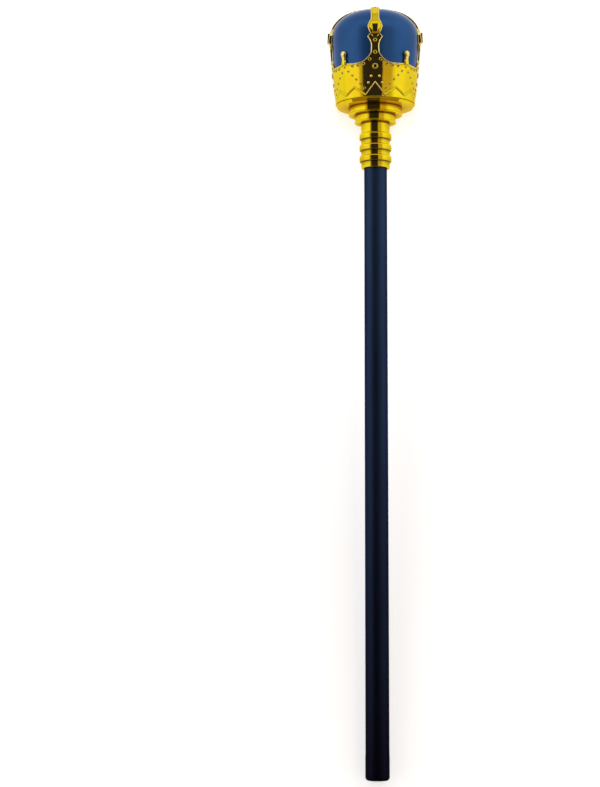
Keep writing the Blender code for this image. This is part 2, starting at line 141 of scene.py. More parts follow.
# How much finer the rub mask is than the clouds
RUB_FINENESS = 3.5

# The floor, and the lamp's place and size
FLOOR_SIZE = 12.0
FLOOR_DROP = 0.05 * MM
LAMP_BACK = 20.0 * MM
LAMP_RADIUS = 80.0 * MM

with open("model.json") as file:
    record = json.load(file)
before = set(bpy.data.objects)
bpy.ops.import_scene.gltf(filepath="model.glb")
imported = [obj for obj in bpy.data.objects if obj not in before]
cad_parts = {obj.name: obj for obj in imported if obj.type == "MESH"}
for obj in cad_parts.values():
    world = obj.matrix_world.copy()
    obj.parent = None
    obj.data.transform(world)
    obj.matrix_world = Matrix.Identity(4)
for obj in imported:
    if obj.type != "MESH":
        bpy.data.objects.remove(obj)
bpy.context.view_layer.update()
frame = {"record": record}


def length(name, description, millimetres):
    """A size in metres, whose default is written in millimetres."""
    return FloatProperty(
        name=name, description=description, default=millimetres * MM, min=0.0, precision=5, unit="LENGTH"
    )


def turn(name, description, degrees):
    return FloatProperty(name=name, description=description, default=math.radians(degrees), unit="ROTATION")


def share(name, description, value):
    return FloatProperty(
        name=name, description=description, default=value, min=0.0, max=1.0, subtype="FACTOR"
    )


def number(name, description, value):
    return FloatProperty(name=name, description=description, default=value)


def colour(name, description, value):
    return FloatVectorProperty(
        name=name, description=description, default=value, size=3, min=0.0, max=1.0, subtype="COLOR"
    )


class ShaftSizes(bpy.types.PropertyGroup):
    """The navy tube, with heights from the butt."""

    reach: length("Reach", "From the butt to the neck's mouth", 396.6)
    top_radius: length("Top radius", "Outer radius under the neck", 7.45)
    foot_radius: length("Foot radius", "Outer radius just above the butt", 7.72)
    butt_radius: length("Butt radius", "Outer radius of the butt", 7.85)
    butt_length: length("Butt length", "How long the slightly wider butt is", 18.0)
    corner: length("Corner", "Radius of the butt's rounded edge", 2.2)
    socket_depth: length("Socket depth", "How far the tube goes up into the neck", 25.0)


class NeckSizes(bpy.types.PropertyGroup):
    """The ringed sleeve, its two steps and the plate under the crown."""

    radius: length("Radius", "Outer radius of the sleeve", 9.35)
    sleeve: length("Sleeve", "From the mouth to the lower step", 29.8)
    mouth_round: length("Mouth rounding", "Rounding of the sleeve's mouth", 0.35)
    ring_raise: length("Ring raise", "How far a ring stands out of the sleeve", 1.15)
    ring_height: length("Ring height", "Height of a ring along the sleeve", 4.1)
    ring_pitch: length("Ring pitch", "Distance from ring to ring", 7.35)
    lowest_ring: length("Lowest ring", "From the mouth to the middle of the lowest ring", 6.2)
    ring_count: IntProperty(name="Rings", description="How many rings the sleeve has", default=3, min=0)
    lower_radius: length("Lower step radius", "Outer radius of the lower step", 13.3)
    lower_height: length("Lower step height", "Height of the lower step", 5.2)
    upper_radius: length("Upper step radius", "Outer radius of the upper step", 17.4)
    upper_height: length("Upper step height", "Height of the upper step", 5.0)
    lip: length("Lip", "How far a step's lower lip stands out", 0.3)
    lip_height: length("Lip height", "Height of a step's lower lip", 1.0)
    plate: length("Plate", "Thickness of the plate under the crown", 2.0)
    plate_bevel: length("Plate bevel", "How far the plate narrows to its underside", 1.15)
    plate_round: length("Plate rounding", "Rounding of the plate's upper edge", 0.3)
    socket_gap: length("Socket gap", "Clearance between the tube and the socket", 0.3)
    # Painted shade in the outline's corners: how far it reaches, and how much of it lies on the plate
    corner_shade_reach: length("Corner reach", "How far the duller metal reaches out of the corners", 1.3)
    plate_painted_shade: share("Plate dullness", "How dull the metal on the plate's side is", 0.04)
    ring_shoulder: length("Ring shoulder", "Rounding of a ring's upper edge", 1.0)
    # Painted shade: how much further it reaches at the sides than in front
    side_reach: number("Side reach", "How much further that metal reaches at the sides than in front", 0.7)


class CrownSizes(bpy.types.PropertyGroup):
    """The openwork crown, with heights from its foot and half widths of its straps."""

    radius: length("Radius", "Radius of the inner face at the shoulder", 28.8)
    sweep: length("Sweep", "How much narrower the inner face is at the foot", 3.9)
    belly: number("Belly", "Bend of the band's side; 1 is a straight cone", 1.3)
    shoulder: length("Shoulder", "Height at which the dome starts", 42.1)
    dome: length("Dome", "Height of the dome over the shoulder", 20.2)
    squareness: number("Squareness", "Exponent of the dome's outline; 2 is round", 2.39)
    wall: length("Wall", "Thickness of the crown's wall", 0.85)
    rim_raise: length("Rim raise", "How far rims and lines stand out of the wall", 0.35)
    rim_width: length("Rim width", "Width of the rim along every edge", 0.72)
    edge_round: length("Edge rounding", "How deep the open edges are rounded off", 0.75)
    edge_low: length("Edge low", "Lowest height of the band's top edge", 22.2)
    edge_low_turn: turn("Edge low angle", "Where the top edge is lowest, from a strap's middle", 27.0)
    edge_rise: length("Edge rise", "How much the top edge rises again to a knob", 0.9)
    edge_flare: number("Edge flare", "Bend of the top edge as it rises to a strap", 2.9)
    foot: length("Strap foot", "Height at which a strap leaves the band", 28.1)
    foot_half: length("Strap foot half", "Half width of the strap's foot", 2.85)
    waist: length("Waist", "Height of the strap's waist", 32.0)
    waist_half: length("Waist half", "Half width of the waist", 2.6)
    point: length("Point", "Height of the strap's side points", 38.3)
    point_half: length("Point half", "Half width at the points", 5.1)
    pinch: length("Pinch", "Height of the pinch over the points", 40.5)
    pinch_half: length("Pinch half", "Half width of the pinch", 3.1)
    lobe: length("Lobe", "Height of the widest place of the lobe", 44.9)
    lobe_half: length("Lobe half", "Half width of the lobe", 4.75)
    stem: length("Stem", "Height at which the lobe has become the stem", 49.6)
    stem_half: length("Stem half", "Half width of the stem", 2.7)
    lobe_raise: length("Lobe raise", "How far the lobe stands out at its crest", 1.3)
    lobe_round: share("Lobe rounding", "How much the lobe falls off to its sides", 0.92)
    lobe_start: length("Lobe start", "Height at which the lobe starts to stand out", 40.3)
    lobe_crest: length("Lobe crest", "Height of the lobe's crest", 41.0)


class ReliefSizes(bpy.types.PropertyGroup):
    """The line, beads, studs, leaves, jewels, knobs and button on the crown."""

    near_valley: length("Near valley", "Height of the zigzag's corner beside a strap", 1.3)
    near_valley_turn: turn("Near valley angle", "Where that corner lies, from a strap's middle", 13.6)
    apex: length("Apex", "Height of the zigzag's low upper corner", 6.6)
    apex_turn: turn("Apex angle", "Where that corner lies", 30.0)
    valley: length("Valley", "Height of the zigzag's corner under a knob", 2.4)
    tall_apex: length("Tall apex", "Height of its upper corner under a strap", 9.4)
    line_half: length("Line half", "Half width of the zigzag line", 0.55)
    spine_half: length("Spine half", "Half width of the fine spine under a tall apex", 0.25)
    spine_raise: share("Spine raise", "Height of the spine as a share of the line's", 0.3)
    spine_top: length("Spine top", "Height of the spine's upper end", 7.0)
    bead: length("Bead", "Radius of a bead beside a tall apex", 0.9)
    bead_raise: length("Bead raise", "How far such a bead stands out", 0.75)
    eyelet: length("Eyelet", "Radius of a vee's eyelet to the middle of its ring", 0.66)
    eyelet_ring: length("Eyelet ring", "Radius of such an eyelet's own round", 0.3)
    row_eyelet: length("Row eyelet", "Radius of a row's eyelet to the middle of its ring", 0.84)
    row_eyelet_ring: length("Row eyelet ring", "Radius of such an eyelet's own round", 0.36)
    stud: length("Stud", "Radius of a ring stud to the middle of its ring", 0.92)
    stud_ring: length("Stud ring", "Radius of a ring stud's own round", 0.42)
    big_stud: length("Big stud", "Radius of the big ring stud to the middle of its ring", 1.36)
    big_stud_ring: length("Big stud ring", "Radius of the big ring stud's own round", 0.56)
    big_stud_rise: length("Big stud height", "Height of the big ring stud", 19.3)
    low_stud_rise: length("Low stud height", "Height of the stud at the strap's foot", 28.2)
    high_stud_rise: length("High stud height", "Height of the stud under the strap's points", 36.0)
    row_start: turn("Row start", "Angle of the first bead under the top edge", 7.2)
    row_pitch: turn("Row pitch", "Angle from bead to bead under the top edge", 8.3)
    row_drop: length("Row drop", "How far these beads lie under the top edge", 1.9)
    row_count: IntProperty(name="Row beads", description="Beads in half a row under the top edge", default=4)
    vee_top: length("Vee top", "Height of the top bead of the vee under a knob", 20.4)
    vee_foot: length("Vee foot", "Height of the vee's lowest beads", 5.6)
    vee_foot_turn: turn("Vee foot angle", "Where the vee's lowest beads lie", 15.0)
    vee_count: IntProperty(name="Vee beads", description="Beads on each side of the vee", default=5)
    peak_top_turn: turn("Peak top angle", "Where the upper bead beside a tall apex lies", 5.5)
    peak_top: length("Peak top", "Height of that bead", 13.0)
    peak_foot_turn: turn("Peak foot angle", "Where the lower bead beside a tall apex lies", 9.4)
    peak_foot: length("Peak foot", "Height of that bead", 8.9)
    leaf_rise: length("Leaf height", "Height of the leaf studs over the strap's points", 39.0)
    leaf_across: length("Leaf across", "Distance of a leaf stud from the strap's middle", 1.75)
    leaf_long: length("Leaf length", "Half length of a leaf stud", 1.15)
    leaf_wide: length("Leaf width", "Half width of a leaf stud", 0.33)
    leaf_raise: length("Leaf raise", "How far a leaf stud stands out", 0.4)
    leaf_lean: turn("Leaf lean", "How far a leaf leans away from the strap's middle", 28.0)
    jewel_foot: length("Jewel foot", "Height of the keystone's lower edge", 40.9)
    jewel_height: length("Jewel height", "Height of the keystone", 6.5)
    jewel_foot_half: length("Jewel foot half", "Half width of its lower edge", 1.55)
    jewel_top_half: length("Jewel top half", "Half width of its upper edge", 2.15)
    jewel_raise: length("Jewel raise", "How far its foot stands out of the wall", 1.75)
    jewel_lean: length("Jewel lean", "How much less its top stands out", 0.35)
    jewel_depth: length("Jewel depth", "Depth of the keystone's block", 2.0)
    stem_stud: length("Stem stud", "Radius of the fine studs up the stem", 0.7)
    stem_stud_low: length("Lower stem stud", "Height of the lower fine stud on the stem", 53.3)
    stem_stud_high: length("Upper stem stud", "Height of the upper fine stud on the stem", 59.6)
    button: length("Button", "Radius of the button over the crossing", 4.2)
    button_raise: length("Button raise", "Height of the button", 1.05)
    knob: length("Knob", "Half width of a knob", 2.1)
    knob_height: length("Knob height", "From the band's edge to the top of a knob", 7.9)
    knob_neck: length("Knob neck", "Half width of its neck", 1.4)
    knob_foot: length("Knob foot", "Half width of its foot", 1.9)
    knob_sink: length("Knob sink", "How deep its foot is rooted in the band", 1.2)
    knob_thinning: share("Knob thinning", "Depth of a knob as a share of its width", 0.54)
    # Painted shade beside the relief and on the lobe, and a paler colour on crests and studs that is partly
    # rubbed wear and partly a painted highlight
    side_painted_shade: share("Dull side", "How dull the metal is beside lines, rims, beads and eyelets", 0.55)
    lobe_painted_shade: share("Dull lobe", "How dull the metal is on the strap's lobe", 0.16)
    crest_rub_and_highlight: share("Rubbed crest", "How far the metal is rubbed pale on rims and tall apexes", 0.85)
    stud_rub_and_highlight: share("Rubbed stud", "How far the metal is rubbed pale on beads and studs", 0.6)


class CapSizes(bpy.types.PropertyGroup):
    """The blue cap inside the crown."""

    gap: length("Gap", "Clearance between the cap and the crown", 0.3)


class Finishes(bpy.types.PropertyGroup):
    """The colours and gloss of the three plastics."""

    gold: colour("Gold", "The metallised gold where it is clear", (0.93, 0.71, 0.003))
    gold_deep: colour("Deep gold", "The metallised gold where it is thicker", (0.88, 0.60, 0.003))
    gold_edge: colour("Gold edge", "The gold seen at a glancing angle", (0.98, 0.72, 0.22))
    crown_edge: colour("Crown edge", "The crown's paler gold seen so", (0.95, 0.84, 0.46))
    # Painted shade: the dark colour laid in the corners, beside relief and on the eyelets' floors
    gold_painted_shade: colour("Gold corner", "The thin, dull metal in the corners", (0.07, 0.030, 0.012))
    # Pale colour on crests and tops: partly rubbed wear, partly a painted highlight
    gold_rubbed_and_highlit: colour("Rubbed gold", "The paler metal on rubbed crests", (1.0, 0.87, 0.48))
    gold_gloss: share("Gold roughness", "Least roughness of the gold", 0.06)
    gold_wear: share("Gold wear", "Roughness of the gold where it is rubbed", 0.22)
    gold_haze: share("Gold haze", "How much of the clear lacquer's haze shows", 0.38)
    blue: colour("Blue", "The cap's blue", (0.026, 0.092, 0.262))
    blue_deep: colour("Deep blue", "The cap's blue where it is thicker", (0.021, 0.078, 0.232))
    blue_gloss: share("Blue roughness", "Roughness of the cap", 0.3)
    blue_sheen: share("Blue metal", "How metallic the cap's paint is", 0.6)
    blue_edge: colour("Blue edge", "The cap seen at a glancing angle", (0.05, 0.46, 0.84))
    blue_lacquer: number("Blue lacquer", "Index of refraction of the thin lacquer over the cap", 1.15)
    navy: colour("Navy", "The tube's navy at the neck", (0.026, 0.050, 0.112))
    navy_deep: colour("Deep navy", "That navy in its streaks", (0.021, 0.042, 0.095))
    # Painted shade: the dark colour that the tube fades to towards its butt, where less light falls
    navy_butt_shade: colour("Butt navy", "The tube's navy at its butt", (0.006, 0.005, 0.012))
    navy_sheen: share("Navy metal", "How pearly the tube's plastic is", 0.85)
    navy_shine: colour("Navy shine", "The tube seen at a glancing angle", (0.15, 0.18, 0.30))
    navy_gloss: share("Navy roughness", "Roughness of the tube", 0.4)


class Studio(bpy.types.PropertyGroup):
    """The camera, the floor and the light tent, whose angles are counted from straight up."""

    distance: length("Camera distance", "From the camera to the sceptre's axis", 1350.0)
    station: length("Camera station", "How far up from the butt the camera stands", 136.0)
    aim: length("Camera aim", "How far further up it looks", 89.3)
    focal: number("Focal length", "Focal length in pixels of the picture", 2084.0)
    shift: number("Shift", "How far the picture is framed higher up, as a share of its height", 0.047)
    picture_height: number("Picture height", "Height of the picture in pixels", 787.0)
    pan: number("Pan", "How far right of the middle the sceptre lies, in pixels", 76.4)
    roll: turn("Roll", "How far the camera is rolled", -0.19)
    sensor: number("Sensor", "Height of the sensor in millimetres", 36.0)
    floor: colour("Floor", "The floor's colour", (0.93, 0.93, 0.93))
    floor_glow: number("Floor glow", "Light added to the floor, which bleaches its shadows", 0.56)
    floor_seen: colour("Floor reflected", "How the floor shows in glossy surfaces", (0.88, 0.88, 0.88))
    floor_bounce: colour("Floor bounce", "How much light the floor throws back", (0.12, 0.12, 0.12))
    tent: number("Tent", "Brightness of the tent's white walls", 1.0)
    fill: number("Fill", "How much brighter the tent lights matt surfaces", 1.3)
    head_wall: colour("Head wall", "Colour of the tent beyond the head", (0.66, 0.64, 0.64))
    head_wall_from: turn("Head wall from", "Where that wall starts, towards the head", 54.0)
    butt_wall: colour("Butt wall", "Colour of the tent beyond the butt", (0.30, 0.22, 0.16))
    butt_wall_from: turn("Butt wall from", "Where that wall starts, towards the butt", -20.0)
    lamp: FloatProperty(
        name="Lamp", description="Power of the lamp over the head", default=2.2, unit="POWER"
    )
    lamp_height: length("Lamp height", "Height of the lamp over the floor", 500.0)
    lamp_cone: turn("Lamp cone", "Width of the lamp's cone", 62.0)
    gap_left: turn("Gap left", "Left edge of the tent's dark opening", -35.0)
    dim_left: turn("Dim left", "Left edge of the brown wall beside it", -44.0)
    gap_right: turn("Gap right", "Right edge of the tent's dark opening", 20.0)
    dim_right: turn("Dim right", "Right edge of the dimmer wall beside it", 50.0)
    dim: colour("Dim", "Colour of the dimmer wall", (0.56, 0.46, 0.36))
    gap_head: turn("Gap head", "Where the opening ends towards the head", 26.8)
    gap_butt: turn("Gap butt", "Where the opening ends towards the butt", -62.0)
    soft_edge: turn("Soft edge", "How softly the opening's edges fade", 2.0)
    softer_edge: turn("Softer edge", "How softly the walls pass into each other", 9.0)
    gap_colour: colour("Gap colour", "What shows in the opening", (0.022, 0.018, 0.026))


def mount(name):
    return next(found for found in frame["record"]["mounts"] if found["name"] == name)


def lying():
    """The matrix that takes an upright piece to its place on the frame, from the mount at the butt's end."""
    butt = mount("butt_end")
    along = -Vector(butt["axis"]).normalized()
    backward = Vector((along.z, 0.0, -along.x))
    sideways = backward.cross(along)
    turned_over = Matrix((sideways, backward, along)).transposed().to_4x4()
    return Matrix.Translation(butt["pos_m"]) @ turned_over


def deselect():
    if bpy.context.mode != "OBJECT":
        bpy.ops.object.mode_set(mode="OBJECT")
    bpy.ops.object.select_all(action="DESELECT")


def pick(piece, *others):
    """Makes a piece the active one, selected with the others alone."""
    deselect()
    for other in others:
        other.select_set(True)
    piece.select_set(True)
    bpy.context.view_layer.objects.active = piece


def edit(piece, mode="VERT"):
    pick(piece)
    bpy.ops.object.mode_set(mode="EDIT")
    bpy.ops.mesh.select_mode(type=mode)
    bpy.ops.mesh.select_all(action="SELECT")


def leave_edit():
    bpy.ops.object.mode_set(mode="OBJECT")


def named(name):
    piece = bpy.context.object
    piece.name = name
    piece.data.name = name
    return piece


def apply_modifiers(piece):
    pick(piece)
    for modifier in list(piece.modifiers):
        bpy.ops.object.modifier_apply(modifier=modifier.name)


def place(piece, matrix):
    """Puts a piece where a matrix says and keeps that place in its mesh."""
    pick(piece)
    piece.matrix_world = matrix @ piece.matrix_world
    bpy.ops.object.transform_apply(location=True, rotation=True, scale=True)


def copy_of(piece, matrix):
    twin = piece.copy()
    twin.data = piece.data.copy()
    bpy.context.scene.collection.objects.link(twin)
    twin.matrix_world = matrix
    return twin


def join(piece, others):
    pick(piece, *others)
    bpy.ops.object.join()
    return piece


def smooth(piece, angle=SHARP_ANGLE):
    pick(piece)
    bpy.ops.object.shade_smooth_by_angle(angle=angle)


def finish(piece, node, material):
    """Lays a piece down on the frame, gives it its finish and lets it stand for its node."""
    place(piece, lying())
    piece.data.materials.clear()
    piece.data.materials.append(material)
    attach(piece, "root")
    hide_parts(node)


def turned(name, stations, sides, tip=False):
    """A turned solid: a filled circle, extruded and resized from each (radius, height) to the next."""
    deselect()
    radius, height = stations[0]
    bpy.ops.mesh.primitive_circle_add(vertices=sides, radius=radius, fill_type="NGON", location=(0, 0, 0))
    piece = named(name)
    edit(piece, "FACE")
    bpy.ops.transform.translate(value=(0, 0, height))
    for next_radius, next_height in stations[1:]:
        rise = next_height - height
        bpy.ops.mesh.extrude_region_move(TRANSFORM_OT_translate={"value": (0, 0, rise)})
        factor = next_radius / radius
        bpy.ops.transform.resize(value=(factor, factor, 1), center_override=(0, 0, next_height))
        radius, height = next_radius, next_height
    if tip:
        bpy.ops.mesh.merge(type="CENTER")
    bpy.ops.mesh.select_all(action="SELECT")
    bpy.ops.mesh.normals_make_consistent(inside=False)
    leave_edit()
    return piece


def arc(centre_radius, centre_height, radius, start, end, steps, flat=1.0):
    """Stations round an arc whose angles are counted from straight out, up to straight up at 90 degrees."""
    stations = []
    for step in range(steps + 1):
        angle = math.radians(start + (end - start) * step / steps)
        out = centre_radius + radius * flat * math.cos(angle)
        stations.append((out, centre_height + radius * math.sin(angle)))
    return stations


def inner_radius(sizes, rise, inset=0.0):
    """The radius of the crown's inner face at a rise over its foot, or of a face that is inset from it."""
    if rise <= sizes.shoulder:
        below = (sizes.shoulder - rise) / sizes.shoulder
        return sizes.radius - inset - sizes.sweep * below**sizes.belly
    above = min(1.0, (rise - sizes.shoulder) / (sizes.dome - inset))
    return (sizes.radius - inset) * (1.0 - above**sizes.squareness) ** (1.0 / sizes.squareness)


def crown_foot():
    shaft = bpy.context.scene.sceptre_shaft
    neck = bpy.context.scene.sceptre_neck
    steps = neck.sleeve + neck.lower_height + neck.upper_height
    return shaft.reach + steps + neck.plate + bpy.context.scene.sceptre_cap.gap


def crown_point(sizes, angle, rise):
    """A point on the crown's inner face at an angle from the front and a rise over its foot."""
    radius = inner_radius(sizes, rise)
    return Vector((radius * math.sin(angle), -radius * math.cos(angle), crown_foot() + rise))


def outward(sizes, angle, rise, lift):
    """A place on the crown's wall with its Z axis square to the surface and its Y axis up the surface."""
    step = 0.1 * MM
    upward = crown_point(sizes, angle, rise + step) - crown_point(sizes, angle, rise - step)
    upward.normalize()
    sideways = Vector((math.cos(angle), math.sin(angle), 0.0))
    out = sideways.cross(upward)
    spot = crown_point(sizes, angle, rise) + out * lift
    return Matrix.Translation(spot) @ Matrix((sideways, upward, out)).transposed().to_4x4()


def eased(part, start, end, bend):
    return start + (end - start) * part**bend


def strap_half(sizes, rise):
    """Half of a strap's width at a rise over the crown's foot: waist, point, pinch, lobe and stem."""
    stations = (
        (sizes.foot, sizes.foot_half, 1.0),
        (sizes.waist, sizes.waist_half, 2.2),
        (sizes.point, sizes.point_half, 1.0),
        (sizes.pinch, sizes.pinch_half, 0.6),
        (sizes.lobe, sizes.lobe_half, 1.5),
        (sizes.stem, sizes.stem_half, 1.0),
    )
    for (low, start, bend), (high, end, _) in zip(stations, stations[1:]):
        if rise <= high:
            return eased(max(0.0, (rise - low) / (high - low)), start, end, bend)
    return sizes.stem_half


def foot_turn(sizes):
    return math.asin(sizes.foot_half / inner_radius(sizes, sizes.foot))


def edge_rise(sizes, angle):
    """The rise of the band's top edge at an angle from a strap's middle, from the strap to the knob."""
    if angle <= sizes.edge_low_turn:
        part = (sizes.edge_low_turn - angle) / (sizes.edge_low_turn - foot_turn(sizes))
        return sizes.edge_low + (sizes.foot - sizes.edge_low) * min(1.0, part) ** sizes.edge_flare
    part = (angle - sizes.edge_low_turn) / (EIGHTH - sizes.edge_low_turn)
    return sizes.edge_low + sizes.edge_rise * part**2


def edge_stretch(sizes, angle):
    """How much longer a drop is than its distance square to the band's top edge, where that edge slopes."""
    angle = max(angle, foot_turn(sizes))
    step = math.radians(0.1)
    slope = (edge_rise(sizes, angle + step) - edge_rise(sizes, angle)) / (step * sizes.radius)
    return math.sqrt(1.0 + slope**2)


def strap_stretch(sizes, rise):
    """How much longer a step across is than its distance square to the strap's edge, where it slopes."""
    step = 0.4 * MM
    here = strap_half(sizes, rise)
    slopes = abs(strap_half(sizes, rise + step) - here) + abs(here - strap_half(sizes, rise - step))
    return math.sqrt(1.0 + min(2.0, slopes / (2 * step)) ** 2)


def zigzag_corners(relief):
    """(angle, rise) of the zigzag's corners: a tall apex under each strap, a low one halfway to the knob."""
    return (
        (0.0, relief.tall_apex),
        (relief.near_valley_turn, relief.near_valley),
        (relief.apex_turn, relief.apex),
        (EIGHTH, relief.valley),
    )


def zigzag_rise(relief, angle):
    corners = zigzag_corners(relief)
    for (start, low), (end, high) in zip(corners, corners[1:]):
        if angle <= end:
            return eased((angle - start) / (end - start), low, high, 1.0)
    return relief.valley


def lobe_raise(sizes, rise):
    """How far the strap's lobe stands out: a long slope up to its crest and a short one below."""
    if rise >= sizes.lobe_crest:
        part = (sizes.stem - rise) / (sizes.stem - sizes.lobe_crest)
    else:
        part = (rise - sizes.lobe_start) / (sizes.lobe_crest - sizes.lobe_start)
    return sizes.lobe_raise * min(1.0, max(0.0, part))


def edge_height(sizes, distance):
    """How far the rim along an open edge stands out of the wall, or falls back where it is rounded off."""
    middle = RIM_CREST * sizes.rim_width
    if distance < middle:
        fall = 1.0 - math.sqrt(1.0 - (1.0 - distance / middle) ** 2)
        return sizes.rim_raise - sizes.edge_round * fall
    return sizes.rim_raise * rim_profile(distance, sizes.rim_width)


def rim_profile(distance, width):
    """The height of a rounded rim at a distance from its edge, as a share of its full height."""
    middle = RIM_CREST * width
    if distance < middle:
        return RIM_AT_EDGE + (1.0 - RIM_AT_EDGE) * math.sqrt(1.0 - (1.0 - distance / middle) ** 2)
    if distance < width:
        return 0.5 + 0.5 * math.cos(math.pi * (distance - middle) / (width - middle))
    return 0.0


def line_profile(distance, half):
    """The height of a fine rounded line at a distance from its middle, as a share of its full height."""
    return 0.5 + 0.5 * math.cos(math.pi * min(1.0, abs(distance) / half))


def rim_columns(sizes, rise, half):
    """Distances across half a strap, from its middle out to its edge, close together under the rim."""
    reach = min(RIM_REACH * sizes.rim_width * strap_stretch(sizes, rise), RIM_MOST * half)
    inner = [(half - reach) * step / PLAIN_COLUMNS for step in range(PLAIN_COLUMNS)]
    return inner + [half - reach * line for line in reversed(RIM_LINES)]


def band_rows(sizes, relief, angle):
    """Rises up one column of the band: its foot bead, the zigzag, its side and the rim of its top edge."""
    edge = edge_rise(sizes, angle)
    reach = RIM_REACH * sizes.rim_width
    zigzag = zigzag_rise(relief, angle)
    foot = [reach * FOOT_BEAD * line for line in RIM_LINES]
    reach_up = CROSS_REACH * relief.line_half
    reach_down = min(reach_up, (zigzag - foot[-1]) / 2.0)
    line = [zigzag + cross * (reach_down if cross < 0.0 else reach_up) for cross in CROSS_LINES]
    top = [edge - reach * edge_stretch(sizes, angle) * step for step in reversed(RIM_LINES)]
    below = between(foot[-1], line[0], ROWS_BELOW_LINE)
    above = between(line[-1], top[0], ROWS_ABOVE_LINE)
    return foot + below + line + above + top


def between(low, high, spans):
    """The rises that divide the way from a low one to a high one into spans, without those two."""
    return [low + (high - low) * step / spans for step in range(1, spans)]


def band_angles(sizes, relief):
    """Angles across one eighth of the band, whose first ones carry on the strap's columns."""
    radius = inner_radius(sizes, sizes.foot)
    angles = [math.asin(across / radius) for across in rim_columns(sizes, sizes.foot, sizes.foot_half)]
    corners = [angles[-1]] + [angle for angle, _ in zigzag_corners(relief)[1:]]
    for start, end in zip(corners, corners[1:]):
        steps = round((end - start) / BAND_STEP)
        angles += [start + (end - start) * (step + 1) / steps for step in range(steps)]
    return angles


def strap_rises(sizes):
    """Rises up a strap, from its foot over the shoulder to the place on top where the four straps meet."""
    steps = round((sizes.stem - sizes.foot) / STRAP_STEP)
    rises = [sizes.foot + (sizes.stem - sizes.foot) * step / steps for step in range(steps + 1)]
    stem_radius = inner_radius(sizes, sizes.stem)
    steps = 40
    for step in range(1, steps + 1):
        radius = stem_radius * math.cos(QUARTER * step / steps) / sizes.radius
        part = (1.0 - radius**sizes.squareness) ** (1.0 / sizes.squareness)
        rises.append(sizes.shoulder + sizes.dome * part)
    return rises


def outline_tree(sizes):
    """The open edge of one eighth of the crown, as points close together to measure distances from."""
    points = []
    steps = 600
    first = foot_turn(sizes)
    top = sizes.shoulder + sizes.dome
    for step in range(steps + 1):
        angle = first + (EIGHTH - first) * step / steps
        points.append(crown_point(sizes, angle, edge_rise(sizes, angle)))
        rise = sizes.foot + (top - sizes.foot) * step / steps
        half = strap_half(sizes, rise)
        radius = inner_radius(sizes, rise)
        if half < radius * math.sin(EIGHTH):
            points.append(crown_point(sizes, math.asin(half / radius), rise))
    tree = kdtree.KDTree(len(points))
    for index, point in enumerate(points):
        tree.insert(point, index)
    tree.balance()
    return tree


def mapped_grid(name, across, along, spot):
    """A grid whose corners go where spot(column, row) says, with the wall and the painted shade and
    highlight that it gives kept.
    """
    deselect()
    bpy.ops.mesh.primitive_grid_add(x_subdivisions=across, y_subdivisions=along, size=2.0)
    piece = named(name)
    walls = piece.vertex_groups.new(name="wall")
    wear = []
    for corner in piece.data.vertices:
        column = round((corner.co.x + 1.0) / 2 * across)
        row = round((corner.co.y + 1.0) / 2 * along)
        corner.co, wall, shaded = spot(column, row)
        walls.add([corner.index], wall, "REPLACE")
        wear.append(shaded)
    return keep_painted_shading(piece, wear, 1.0)


def keep_painted_shading(piece, wear, rubbed):
    """Keeps on each corner of a mesh how far painted shade darkens its metal, up to 1, or how far rubbing
    and a painted highlight pale it, as a negative value.
    """
    kept = piece.data.attributes.new("corner", "FLOAT", "POINT")
    kept.data.foreach_set("value", [min(1.0, max(-rubbed, shaded)) for shaded in wear])
    return piece


def mark(piece, wear, rubbed=0.0):
    """Keeps the painted shade, and the pale rub and painted highlight, that a function of each corner's
    place gives, the pale part no more than the share.
    """
    return keep_painted_shading(piece, [wear(corner.co) for corner in piece.data.vertices], rubbed)


